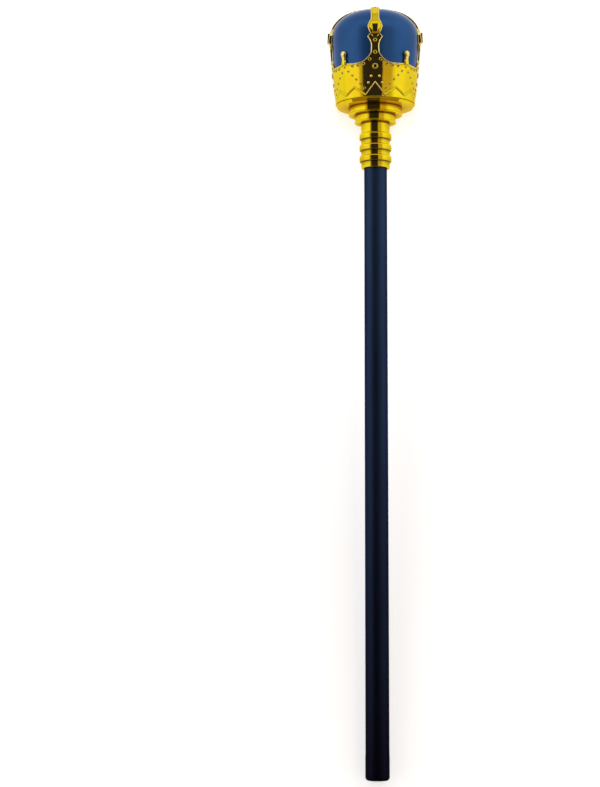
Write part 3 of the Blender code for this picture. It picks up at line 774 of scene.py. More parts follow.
def crown_sheet(sizes, relief):
    """One eighth of the crown's inner face, with the wall over each corner kept as a weight."""
    tree = outline_tree(sizes)
    angles = band_angles(sizes, relief)
    rows = [band_rows(sizes, relief, angle) for angle in angles]
    rises = strap_rises(sizes)
    thickest = sizes.wall + sizes.lobe_raise + sizes.rim_raise
    radius = inner_radius(sizes, relief.apex)

    def band_spot(column, row):
        angle = angles[column]
        rise = rows[column][row]
        point = crown_point(sizes, angle, rise)
        _, _, from_edge = tree.find(point)
        from_line = (rise - zigzag_rise(relief, angle)) * LINE_SLANT
        bead = rim_profile(rise, sizes.rim_width * FOOT_BEAD)
        raised = max(bead, line_profile(from_line, relief.line_half))
        if rise < relief.spine_top:
            raised = max(raised, relief.spine_raise * line_profile(angle * radius, relief.spine_half))
        height = sizes.rim_raise * raised
        if from_edge < sizes.rim_width:
            height = edge_height(sizes, from_edge)
        # Painted shade in a stripe beside the zigzag line and the open edge; the rim's crest, and the line's
        # crest under a strap, are paled by rubbed wear and a painted highlight
        beside_line = abs(abs(from_line) - SHADE_ASIDE * relief.line_half)
        beside_edge = abs(from_edge - SHADE_ASIDE * sizes.rim_width)
        beside = min(beside_line, beside_edge)
        shaded = relief.side_painted_shade * line_profile(beside, SHADE_WIDTH * relief.line_half)
        crest = rim_profile(from_edge, sizes.rim_width)
        if angle < relief.near_valley_turn:
            crest = max(crest, line_profile(from_line, relief.line_half))
        return point, (sizes.wall + height) / thickest, shaded - relief.crest_rub_and_highlight * crest

    def strap_spot(column, row):
        rise = rises[row]
        local = inner_radius(sizes, rise)
        half = min(strap_half(sizes, rise), local * math.sin(EIGHTH))
        across = rim_columns(sizes, rise, half)[column] if half > 0.0 else 0.0
        angle = math.asin(min(1.0, across / local)) if local > 0.0 else 0.0
        point = crown_point(sizes, angle, rise)
        _, _, from_edge = tree.find(point)
        wall = sizes.wall + edge_height(sizes, from_edge)
        # Painted shade in a stripe beside the open edge and over the lobe; the rim's crest is paled by
        # rubbed wear and a painted highlight
        beside = from_edge - SHADE_ASIDE * sizes.rim_width
        shaded = relief.side_painted_shade * line_profile(beside, SHADE_WIDTH * relief.line_half)
        aside = across / half if half > 0.0 else 0.0
        pillow = math.sqrt(1.0 - sizes.lobe_round * aside**LOBE_BEND)
        raised = lobe_raise(sizes, rise) * pillow
        on_lobe = min(1.0, raised / (LOBE_SHADE_FROM * sizes.lobe_raise))
        shaded = max(shaded, relief.lobe_painted_shade * on_lobe)
        wear = shaded - relief.crest_rub_and_highlight * rim_profile(from_edge, sizes.rim_width)
        return point, (wall + raised) / thickest, wear

    band = mapped_grid("crown_work", len(angles) - 1, len(rows[0]) - 1, band_spot)
    columns = len(rim_columns(sizes, sizes.foot, sizes.foot_half))
    strap = mapped_grid("strap_work", columns - 1, len(rises) - 1, strap_spot)
    sheet = join(band, [strap])
    edit(sheet)
    bpy.ops.mesh.remove_doubles(threshold=MERGE_DISTANCE)
    leave_edit()
    face_out(sheet)
    return sheet, thickest


def face_out(sheet):
    """Turns every face of the sheet away from the middle of the crown."""
    middle = Vector((0.0, 0.0, crown_foot()))
    for face in sheet.data.polygons:
        if face.normal.dot(face.center - middle) < 0.0:
            face.flip()
    sheet.data.update()


def whole_crown(sheet, thickest):
    """Mirrors the eighth four ways and gives it its wall."""
    deselect()
    bpy.ops.object.empty_add(rotation=(0.0, 0.0, EIGHTH))
    diagonal = bpy.context.object
    for axes, about in (((True, False, False), diagonal), ((True, True, False), None)):
        mirror = sheet.modifiers.new("mirror", "MIRROR")
        mirror.use_axis = axes
        mirror.mirror_object = about
        mirror.merge_threshold = MERGE_DISTANCE
        apply_modifiers(sheet)
    wall = sheet.modifiers.new("wall", "SOLIDIFY")
    wall.thickness = thickest
    wall.offset = 1.0
    wall.vertex_group = "wall"
    apply_modifiers(sheet)
    bpy.data.objects.remove(diagonal)
    return sheet


def dome_bead(name, radius, height, segments=12, rings=8):
    """A low round bead that stands on Z = 0, with a little of it below."""
    deselect()
    bpy.ops.mesh.primitive_uv_sphere_add(segments=segments, ring_count=rings, radius=1.0)
    piece = named(name)
    edit(piece)
    bpy.ops.transform.resize(value=(radius, radius, height))
    leave_edit()
    # Painted shade at the bead's foot, fading to rubbed wear and a painted highlight on its top
    rubbed = bpy.context.scene.sceptre_relief.stud_rub_and_highlight
    return mark(piece, lambda place: 1.0 - BEAD_FADE * place.z / height, rubbed)


def ring_stud(name, radius, ring, segments=28):
    """A ring that is half sunk in the wall, with a floor inside it painted dark as shade."""
    deselect()
    bpy.ops.mesh.primitive_torus_add(
        major_radius=radius, minor_radius=ring, major_segments=segments, minor_segments=10
    )
    # Painted shade at the ring's foot, fading to rubbed wear and a painted highlight on its top
    rubbed = bpy.context.scene.sceptre_relief.stud_rub_and_highlight
    piece = mark(named(name), lambda place: 1.0 - RING_FADE * place.z / ring, rubbed)
    deselect()
    low = (0.0, 0.0, EYELET_FLOOR)
    bpy.ops.mesh.primitive_circle_add(vertices=segments, radius=radius, fill_type="NGON", location=low)
    # The floor inside the ring is all painted shade
    floor = mark(named("eyelet_floor"), lambda place: 1.0)
    return join(piece, [floor])


def studs_at(sizes, model, spots, lift):
    """A copy of a model at each (angle, rise) in all four quarters; the model itself is removed."""
    copies = []
    for quarter in range(4):
        for angle, rise in spots:
            copies.append(copy_of(model, outward(sizes, angle + quarter * QUARTER, rise, lift)))
    bpy.data.objects.remove(model)
    return copies


def vee_spots(relief):
    """(angle, rise) of each eyelet of the vee under a knob."""
    spots = [(EIGHTH, relief.vee_top)]
    for side in (-1, 1):
        for step in range(1, relief.vee_count + 1):
            part = step / relief.vee_count
            angle = eased(part, EIGHTH, relief.vee_foot_turn, 1.0)
            spots.append((side * angle, eased(part, relief.vee_top, relief.vee_foot, 1.0)))
    return spots


def row_spots(sizes, relief):
    """(angle, rise) of each eyelet of the row under the band's top edge."""
    spots = []
    for side in (-1, 1):
        for step in range(relief.row_count):
            angle = relief.row_start + step * relief.row_pitch
            drop = relief.row_drop * edge_stretch(sizes, angle)
            spots.append((side * angle, edge_rise(sizes, angle) - drop))
    return spots


def peak_spots(relief):
    """(angle, rise) of the beads beside a tall apex."""
    spots = []
    for side in (-1, 1):
        spots.append((side * relief.peak_top_turn, relief.peak_top))
        spots.append((side * relief.peak_foot_turn, relief.peak_foot))
    return spots


def jewel(sizes, relief):
    """The keystone: a cube shaped to a wedge that is wider at its top and leans back there."""
    deselect()
    bpy.ops.mesh.primitive_cube_add(size=1.0)
    piece = named("jewel_model")
    foot = crown_foot() + relief.jewel_foot
    face = sizes.radius + sizes.wall + relief.jewel_raise
    for corner in piece.data.vertices:
        top = corner.co.z > 0
        half = relief.jewel_top_half if top else relief.jewel_foot_half
        out = face - relief.jewel_lean * top if corner.co.y < 0 else face - relief.jewel_depth
        corner.co = (math.copysign(half, corner.co.x), -out, foot + relief.jewel_height * top)
    edit(piece, "FACE")
    bpy.ops.mesh.normals_make_consistent(inside=False)
    leave_edit()
    bevel = piece.modifiers.new("edges", "BEVEL")
    bevel.width = JEWEL_ROUND
    bevel.segments = 3
    apply_modifiers(piece)
    return piece


def knob(relief):
    """A bud that thins to its foot: a turned drop, flattened from front to back."""
    ball = relief.knob_height - relief.knob
    stations = [(relief.knob_foot, -relief.knob_sink)]
    steps = 6
    for step in range(steps + 1):
        part = 0.5 - 0.5 * math.cos(math.pi * step / steps)
        radius = eased(part, relief.knob_foot, relief.knob_neck, 1.0)
        stations.append((radius, KNOB_NECK_REACH * ball * step / steps))
    stations += arc(0.0, ball, relief.knob, KNOB_BALL_FROM, KNOB_BALL_TO, 16)
    piece = turned("knob_model", stations, KNOB_SIDES, tip=True)
    edit(piece)
    bpy.ops.transform.resize(value=(1.0, relief.knob_thinning, 1.0), center_override=(0, 0, 0))
    leave_edit()
    # Rubbed wear and a painted highlight, paler towards the knob's top
    rubbed = relief.stud_rub_and_highlight
    return mark(piece, lambda place: -rubbed * place.z / relief.knob_height, rubbed)


def button(sizes, relief):
    """The low button over the place where the straps meet."""
    top = crown_foot() + sizes.shoulder + sizes.dome + sizes.wall
    stations = [(relief.button, top - sizes.wall), (relief.button, top)]
    flat = relief.button * BUTTON_FLAT
    stations += arc(flat, top, relief.button_raise, 0.0, 90.0, 6, BUTTON_WIDENING)
    return turned("button", stations, BUTTON_SIDES)


def rest_flat(piece):
    """Cuts the small flat under the back strap, which the sceptre lies on, once the piece is laid down."""
    edit(piece)
    low = mount("rest_flat")["pos_m"][2]
    bpy.ops.mesh.bisect(
        plane_co=(0, 0, low), plane_no=(0, 0, 1), use_fill=True, clear_inner=True, threshold=0.0001 * MM
    )
    leave_edit()


def sockets(node, **values):
    """Sets a node's inputs by name, with spaces for underscores."""
    for name, value in values.items():
        node.inputs[name.replace("_", " ")].default_value = value
    return node


def link(tree, source, target):
    tree.links.new(source, target)


def uneven_group():
    """The unevenness of moulded plastic: soft clouds, fine orange peel and a rub mask."""
    tree = bpy.data.node_groups.new("moulded unevenness", "ShaderNodeTree")
    face = tree.interface
    face.new_socket(name="Vector", in_out="INPUT", socket_type="NodeSocketVector")
    for name, value in (("Cloud Scale", 90.0), ("Peel Scale", 900.0), ("Peel Depth", 0.3), ("Rub", 0.4)):
        socket = face.new_socket(name=name, in_out="INPUT", socket_type="NodeSocketFloat")
        socket.default_value = value
    for name in ("Clouds", "Rubbed", "Height"):
        face.new_socket(name=name, in_out="OUTPUT", socket_type="NodeSocketFloat")
    inside = tree.nodes.new("NodeGroupInput")
    outside = tree.nodes.new("NodeGroupOutput")
    clouds = sockets(tree.nodes.new("ShaderNodeTexNoise"), Detail=2.0, Roughness=0.45)
    peel = sockets(tree.nodes.new("ShaderNodeTexNoise"), Detail=1.0, Roughness=0.4)
    rub = sockets(tree.nodes.new("ShaderNodeTexNoise"), Detail=5.0, Roughness=0.7)
    rub_scale = tree.nodes.new("ShaderNodeMath")
    rub_scale.operation = "MULTIPLY"
    rub_scale.inputs[1].default_value = RUB_FINENESS
    for noise in (clouds, peel, rub):
        link(tree, inside.outputs["Vector"], noise.inputs["Vector"])
    link(tree, inside.outputs["Cloud Scale"], clouds.inputs["Scale"])
    link(tree, inside.outputs["Peel Scale"], peel.inputs["Scale"])
    link(tree, inside.outputs["Cloud Scale"], rub_scale.inputs[0])
    link(tree, rub_scale.outputs[0], rub.inputs["Scale"])
    rubbed = tree.nodes.new("ShaderNodeMapRange")
    sockets(rubbed, From_Min=0.48, From_Max=0.75)
    rub_share = tree.nodes.new("ShaderNodeMath")
    rub_share.operation = "MULTIPLY"
    link(tree, rub.outputs["Fac"], rubbed.inputs["Value"])
    link(tree, rubbed.outputs["Result"], rub_share.inputs[0])
    link(tree, inside.outputs["Rub"], rub_share.inputs[1])
    deep = tree.nodes.new("ShaderNodeMath")
    deep.operation = "MULTIPLY_ADD"
    link(tree, peel.outputs["Fac"], deep.inputs[0])
    link(tree, inside.outputs["Peel Depth"], deep.inputs[1])
    link(tree, clouds.outputs["Fac"], deep.inputs[2])
    link(tree, clouds.outputs["Fac"], outside.inputs["Clouds"])
    link(tree, rub_share.outputs[0], outside.inputs["Rubbed"])
    link(tree, deep.outputs[0], outside.inputs["Height"])
    return tree


def plastic(name, clear, deep, least, most, uneven, bump, stretch=(1.0, 1.0, 1.0)):
    """A moulded plastic whose colour, roughness and bump follow the shared unevenness."""
    material = bpy.data.materials.new(name)
    material.use_nodes = True
    material.diffuse_color = (*clear, 1.0)
    tree = material.node_tree
    shader = tree.nodes["Principled BSDF"]
    place_on = tree.nodes.new("ShaderNodeTexCoord")
    mapping = tree.nodes.new("ShaderNodeMapping")
    mapping.inputs["Scale"].default_value = stretch
    group = tree.nodes.new("ShaderNodeGroup")
    group.node_tree = bpy.data.node_groups["moulded unevenness"]
    sockets(group, **uneven)
    tint = tree.nodes.new("ShaderNodeMix")
    tint.data_type = "RGBA"
    tint.inputs["A"].default_value = (*clear, 1.0)
    tint.inputs["B"].default_value = (*deep, 1.0)
    tint_share = sockets(tree.nodes.new("ShaderNodeMapRange"), From_Min=0.4, From_Max=0.65)
    gloss = sockets(tree.nodes.new("ShaderNodeMapRange"), To_Min=least, To_Max=most)
    relief = sockets(tree.nodes.new("ShaderNodeBump"), Strength=1.0, Distance=bump)
    link(tree, place_on.outputs["Object"], mapping.inputs["Vector"])
    link(tree, mapping.outputs["Vector"], group.inputs["Vector"])
    link(tree, group.outputs["Clouds"], tint_share.inputs["Value"])
    link(tree, tint_share.outputs["Result"], tint.inputs["Factor"])
    link(tree, tint.outputs["Result"], shader.inputs["Base Color"])
    link(tree, group.outputs["Rubbed"], gloss.inputs["Value"])
    link(tree, gloss.outputs["Result"], shader.inputs["Roughness"])
    link(tree, group.outputs["Height"], relief.inputs["Height"])
    link(tree, relief.outputs["Normal"], shader.inputs["Normal"])
    return material


def gold(name, edge):
    finishes = bpy.context.scene.sceptre_finishes
    uneven = {"Cloud_Scale": 70.0, "Peel_Scale": 650.0, "Peel_Depth": 0.12, "Rub": 0.5}
    least = finishes.gold_gloss
    most = finishes.gold_wear
    bump = 0.12 * MM
    material = plastic(name, finishes.gold, finishes.gold_deep, least, most, uneven, bump)
    shader = material.node_tree.nodes["Principled BSDF"]
    sockets(shader, Metallic=1.0, Specular_Tint=(*edge, 1.0))
    sockets(shader, Coat_Weight=finishes.gold_haze, Coat_Roughness=0.5)
    return material


def shade_rub_and_highlight(material):
    """Paints shade on a gold, darkening it deep in the mesh's corners, and pales it on crests with rubbed
    wear and a painted highlight, as its attribute says.
    """
    finishes = bpy.context.scene.sceptre_finishes
    tree = material.node_tree
    shader = tree.nodes["Principled BSDF"]
    clear = shader.inputs["Base Color"].links[0].from_socket
    corner = tree.nodes.new("ShaderNodeAttribute")
    corner.attribute_name = "corner"
    crest = tree.nodes.new("ShaderNodeMath")
    crest.operation = "MULTIPLY"
    crest.inputs[1].default_value = -1.0
    link(tree, corner.outputs["Fac"], crest.inputs[0])
    # The paler layer of rubbed wear and painted highlight, then the dark layer of painted shade
    layers = (
        (crest.outputs[0], finishes.gold_rubbed_and_highlit),
        (corner.outputs["Fac"], finishes.gold_painted_shade),
    )
    shown = clear
    for factor, metal in layers:
        tint = tree.nodes.new("ShaderNodeMix")
        tint.data_type = "RGBA"
        tint.inputs["B"].default_value = (*metal, 1.0)
        link(tree, factor, tint.inputs["Factor"])
        link(tree, shown, tint.inputs["A"])
        shown = tint.outputs["Result"]
    link(tree, shown, shader.inputs["Base Color"])
    return material


def blue(name):
    finishes = bpy.context.scene.sceptre_finishes
    uneven = {"Cloud_Scale": 45.0, "Peel_Scale": 420.0, "Peel_Depth": 0.1, "Rub": 0.5}
    least = finishes.blue_gloss
    most = 1.6 * least
    bump = 0.06 * MM
    material = plastic(name, finishes.blue, finishes.blue_deep, least, most, uneven, bump)
    shader = material.node_tree.nodes["Principled BSDF"]
    sockets(shader, Metallic=finishes.blue_sheen, Specular_IOR_Level=0.15)
    sockets(shader, Specular_Tint=(*finishes.blue_edge, 1.0))
    sockets(shader, Coat_Weight=1.0, Coat_Roughness=0.05, Coat_IOR=finishes.blue_lacquer)
    return material


def navy(name):
    finishes = bpy.context.scene.sceptre_finishes
    uneven = {"Cloud_Scale": 120.0, "Peel_Scale": 1400.0, "Peel_Depth": 0.5, "Rub": 0.8}
    least = finishes.navy_gloss
    most = 1.4 * least
    bump = 0.02 * MM
    stretch = (0.12, 1.0, 1.0)
    material = plastic(name, finishes.navy, finishes.navy_deep, least, most, uneven, bump, stretch)
    shader = material.node_tree.nodes["Principled BSDF"]
    sockets(shader, Metallic=finishes.navy_sheen)
    sockets(shader, Specular_IOR_Level=0.16, Specular_Tint=(*finishes.navy_shine, 1.0))
    # Painted shade that darkens the tube towards its butt
    return shade_towards_butt(material)


def shade_towards_butt(material):
    """Paints shade along the tube: fades its colour to the darker butt colour, as the tube lies along X with
    its butt at the low end.
    """
    finishes = bpy.context.scene.sceptre_finishes
    tree = material.node_tree
    shader = tree.nodes["Principled BSDF"]
    clear = shader.inputs["Base Color"].links[0].from_socket
    place_on = tree.nodes.new("ShaderNodeTexCoord")
    parts = tree.nodes.new("ShaderNodeSeparateXYZ")
    low = mount("butt_end")["pos_m"][0]
    high = low + bpy.context.scene.sceptre_shaft.reach
    fade = tree.nodes.new("ShaderNodeMapRange")
    sockets(fade, From_Min=low, From_Max=high, To_Min=1.0, To_Max=0.0)
    butt_shade_mix = tree.nodes.new("ShaderNodeMix")
    butt_shade_mix.data_type = "RGBA"
    butt_shade_mix.inputs["B"].default_value = (*finishes.navy_butt_shade, 1.0)
    link(tree, place_on.outputs["Object"], parts.inputs[0])
    link(tree, parts.outputs["X"], fade.inputs["Value"])
    link(tree, fade.outputs["Result"], butt_shade_mix.inputs["Factor"])
    link(tree, clear, butt_shade_mix.inputs["A"])
    link(tree, butt_shade_mix.outputs["Result"], shader.inputs["Base Color"])
    return material


class SCEPTRE_OT_shaft(bpy.types.Operator):
    """Models the navy tube with its rounded butt"""

    bl_idname = "sceptre.shaft"
    bl_label = "Navy Tube"

    def execute(self, context):
        sizes = context.scene.sceptre_shaft
        corner = sizes.corner
        core = sizes.butt_radius - corner
        stations = [(core * END_RING, 0.0)]
        stations += arc(core, corner, corner, -90.0, 0.0, 10)
        stations.append((sizes.butt_radius, sizes.butt_length * BUTT_FULL))
        stations.append((sizes.foot_radius, sizes.butt_length))
        steps = 24
        for step in range(1, steps + 1):
            part = step / steps
            radius = eased(part, sizes.foot_radius, sizes.top_radius, 1.0)
            stations.append((radius, eased(part, sizes.butt_length, sizes.reach, 1.0)))
        stations.append((sizes.top_radius, sizes.reach + sizes.socket_depth))
        piece = turned("navy_tube", stations, TURNED_SIDES)
        smooth(piece)
        finish(piece, "shaft", navy("navy plastic"))
        return {"FINISHED"}


class SCEPTRE_OT_neck(bpy.types.Operator):
    """Models the gold neck: the ringed sleeve, the two steps and the plate under the crown"""

    bl_idname = "sceptre.neck"
    bl_label = "Gold Neck"

    def execute(self, context):
        sizes = context.scene.sceptre_neck
        shaft = context.scene.sceptre_shaft
        crown = context.scene.sceptre_crown
        mouth = shaft.reach
        top = mouth + sizes.sleeve
        middle = top + sizes.lower_height
        under = middle + sizes.upper_height
        bore = shaft.top_radius + sizes.socket_gap
        end = mouth + shaft.socket_depth + sizes.socket_gap
        rounded = sizes.mouth_round
        edge = mouth + rounded
        stations = [(bore * END_RING, end), (bore, end), (bore, edge)]
        stations += arc(bore + rounded, edge, rounded, -180.0, -90.0, 3)
        stations += arc(sizes.radius - rounded, edge, rounded, -90.0, 0.0, 4)
        lowest = mouth + sizes.lowest_ring
        centres = [lowest + ring * sizes.ring_pitch for ring in range(sizes.ring_count)]
        for centre in centres:
            stations += self.ring(sizes, centre)
        stations += self.step(sizes, sizes.radius, sizes.lower_radius, top)
        stations += self.step(sizes, sizes.lower_radius, sizes.upper_radius, middle)
        rim = inner_radius(crown, 0.0) + crown.wall
        plate_top = under + sizes.plate
        stations += self.corner(sizes.upper_radius, under)
        stations.append((rim - sizes.plate_bevel, under))
        rounded = sizes.plate_round
        stations.append((rim, plate_top - rounded))
        stations += arc(rim - rounded, plate_top - rounded, rounded, 20.0, 90.0, 3)
        stations.append((bore, plate_top))
        piece = turned("gold_neck", stations, TURNED_SIDES)
        smooth(piece)
        corners = [(sizes.radius, top), (sizes.lower_radius, middle), (sizes.upper_radius, under)]
        corners += [(sizes.radius, centre - sizes.ring_height / 2) for centre in centres]

        # Painted shade, darkest in the outline's corners and reaching further at the sides, with a little on
        # the plate
        def wear(place):
            on_plate = sizes.plate_painted_shade if place.z > under else 0.0
            return max(self.depth(place, corners, sizes), on_plate)

        mark(piece, wear)
        metal = gold("gold neck plastic", context.scene.sceptre_finishes.gold_edge)
        finish(piece, "neck", shade_rub_and_highlight(metal))
        return {"FINISHED"}

    def corner(self, radius, height):
        """Stations close together on either side of a corner, so that its painted shade can be marked."""
        below = [(radius, height - drop * MM) for drop in CORNER_BELOW]
        beside = [(radius + out * MM, height) for out in CORNER_BESIDE]
        return below + [(radius + CORNER_OUT, height - CORNER_DROP)] + beside

    def ring(self, sizes, centre):
        """One ring: a short underside, a sharp lip, a full side and a round shoulder with a fine line."""
        low = centre - sizes.ring_height / 2
        high = centre + sizes.ring_height / 2
        raise_to = sizes.radius + sizes.ring_raise
        lip = low + UNDERSIDE_RISE + RING_LIP
        shoulder = sizes.ring_shoulder
        stations = [(sizes.radius, low - drop * MM) for drop in RING_BELOW]
        stations.append((sizes.radius + UNDERSIDE_START, low))
        stations.append((raise_to - UNDERSIDE_END, low + UNDERSIDE_RISE))
        stations += arc(raise_to - RING_LIP, lip, RING_LIP, -80.0, 0.0, 5)
        stations += arc(raise_to - shoulder, high - shoulder, shoulder, 0.0, SHOULDER_TURN, 6)
        stations.append((sizes.radius + LINE_LIP, high))
        stations.append((sizes.radius - LINE_DEPTH, high + LINE_MIDDLE))
        stations.append((sizes.radius, high + LINE_TOP))
        return stations

    def step(self, sizes, inner, radius, bottom):
        """One step: a flat underside, a rounded lip at its lower edge and a straight wall."""
        half = sizes.lip_height / 2
        stations = self.corner(inner, bottom)
        stations.append((radius - sizes.lip, bottom))
        stations += arc(radius, bottom + half, half, -90.0, 90.0, 8, sizes.lip / half)
        stations.append((radius, bottom + sizes.lip_height + LIP_FADE))
        return stations

    def depth(self, place, corners, sizes):
        """How deep a place lies in one of the outline's corners, which sets its painted shade: 1 in the
        corner, 0 out of its reach.
        """
        out = math.hypot(place.x, place.y)
        nearest = min(math.hypot(out - radius, place.z - height) for radius, height in corners)
        aside = (place.x / out) ** 4
        return 1.0 - nearest / (sizes.corner_shade_reach * (1.0 + sizes.side_reach * aside))


class SCEPTRE_OT_cap(bpy.types.Operator):
    """Models the blue cap that fills the crown"""

    bl_idname = "sceptre.cap"
    bl_label = "Blue Cap"

    def execute(self, context):
        crown = context.scene.sceptre_crown
        gap = context.scene.sceptre_cap.gap
        foot = crown_foot()
        foot_radius = inner_radius(crown, 0.0, gap)
        stations = [(foot_radius * END_RING, foot), (foot_radius, foot)]
        steps = 22
        for step in range(1, steps + 1):
            rise = crown.shoulder * step / steps
            stations.append((inner_radius(crown, rise, gap), foot + rise))
        steps = 56
        for step in range(1, steps):
            angle = QUARTER * step / steps
            out = (crown.radius - gap) * math.cos(angle) ** (2.0 / crown.squareness)
            rise = (crown.dome - gap) * math.sin(angle) ** (2.0 / crown.squareness)
            stations.append((out, foot + crown.shoulder + rise))
        piece = turned("blue_cap", stations, CAP_SIDES, tip=True)
        smooth(piece, CAP_SHARP_ANGLE)
        finish(piece, "cap", blue("blue plastic"))
        return {"FINISHED"}


class SCEPTRE_OT_crown(bpy.types.Operator):
    """Models the gold crown with its rims, zigzag line, beads, studs, jewels, knobs and button"""

    bl_idname = "sceptre.crown"
    bl_label = "Gold Crown"

    def execute(self, context):
        sizes = context.scene.sceptre_crown
        relief = context.scene.sceptre_relief
        sheet, thickest = crown_sheet(sizes, relief)
        crown = whole_crown(sheet, thickest)
        crown.name = "gold_crown"
        crown.data.name = "gold_crown"
        extras = self.beads(sizes, relief) + self.rings(sizes, relief) + self.leaves(sizes, relief)
        extras += self.jewels(sizes, relief) + self.knobs(sizes, relief) + [button(sizes, relief)]
        join(crown, extras)
        crown.vertex_groups.clear()
        smooth(crown)
        metal = gold("gold crown plastic", context.scene.sceptre_finishes.crown_edge)
        finish(crown, "crown", shade_rub_and_highlight(metal))
        rest_flat(crown)
        return {"FINISHED"}

    def beads(self, sizes, relief):
        model = dome_bead("bead_model", relief.bead, relief.bead_raise)
        return studs_at(sizes, model, peak_spots(relief), sizes.wall)

    def rings(self, sizes, relief):
        model = ring_stud("eyelet_model", relief.eyelet, relief.eyelet_ring, segments=18)
        copies = studs_at(sizes, model, vee_spots(relief), sizes.wall)
        model = ring_stud("row_eyelet_model", relief.row_eyelet, relief.row_eyelet_ring, segments=20)
        copies += studs_at(sizes, model, row_spots(sizes, relief), sizes.wall)
        model = ring_stud("stud_model", relief.stud, relief.stud_ring)
        spots = [(0.0, relief.low_stud_rise), (0.0, relief.high_stud_rise)]
        copies += studs_at(sizes, model, spots, sizes.wall)
        model = ring_stud("big_stud_model", relief.big_stud, relief.big_stud_ring)
        return copies + studs_at(sizes, model, [(0.0, relief.big_stud_rise)], sizes.wall)

    def leaves(self, sizes, relief):
        """The slanted leaf studs over the strap's points, and the fine studs up the stem."""
        copies = []
        for side in (-1, 1):
            leaf = dome_bead("leaf_model", relief.leaf_wide, relief.leaf_raise, segments=16)
            edit(leaf)
            bpy.ops.transform.resize(value=(1.0, relief.leaf_long / relief.leaf_wide, 1.0))
            leave_edit()
            place(leaf, Matrix.Rotation(-side * relief.leaf_lean, 4, "Z"))
            angle = side * relief.leaf_across / sizes.radius
            lift = sizes.wall + lobe_raise(sizes, relief.leaf_rise)
            copies += studs_at(sizes, leaf, [(angle, relief.leaf_rise)], lift)
        fine = dome_bead("stem_stud_model", relief.stem_stud, relief.stem_stud * STEM_STUD_HEIGHT)
        spots = [(0.0, relief.stem_stud_low), (0.0, relief.stem_stud_high)]
        return copies + studs_at(sizes, fine, spots, sizes.wall)

    def jewels(self, sizes, relief):
        model = jewel(sizes, relief)
        copies = [copy_of(model, Matrix.Rotation(quarter * QUARTER, 4, "Z")) for quarter in range(4)]
        bpy.data.objects.remove(model)
        return copies

    def knobs(self, sizes, relief):
        model = knob(relief)
        upright = Matrix.Rotation(-QUARTER, 4, "X")
        copies = []
        for quarter in range(4):
            lift = relief.knob * relief.knob_thinning
            spot = outward(sizes, EIGHTH + quarter * QUARTER, edge_rise(sizes, EIGHTH), lift)
            copies.append(copy_of(model, spot @ upright))
        bpy.data.objects.remove(model)
        return copies


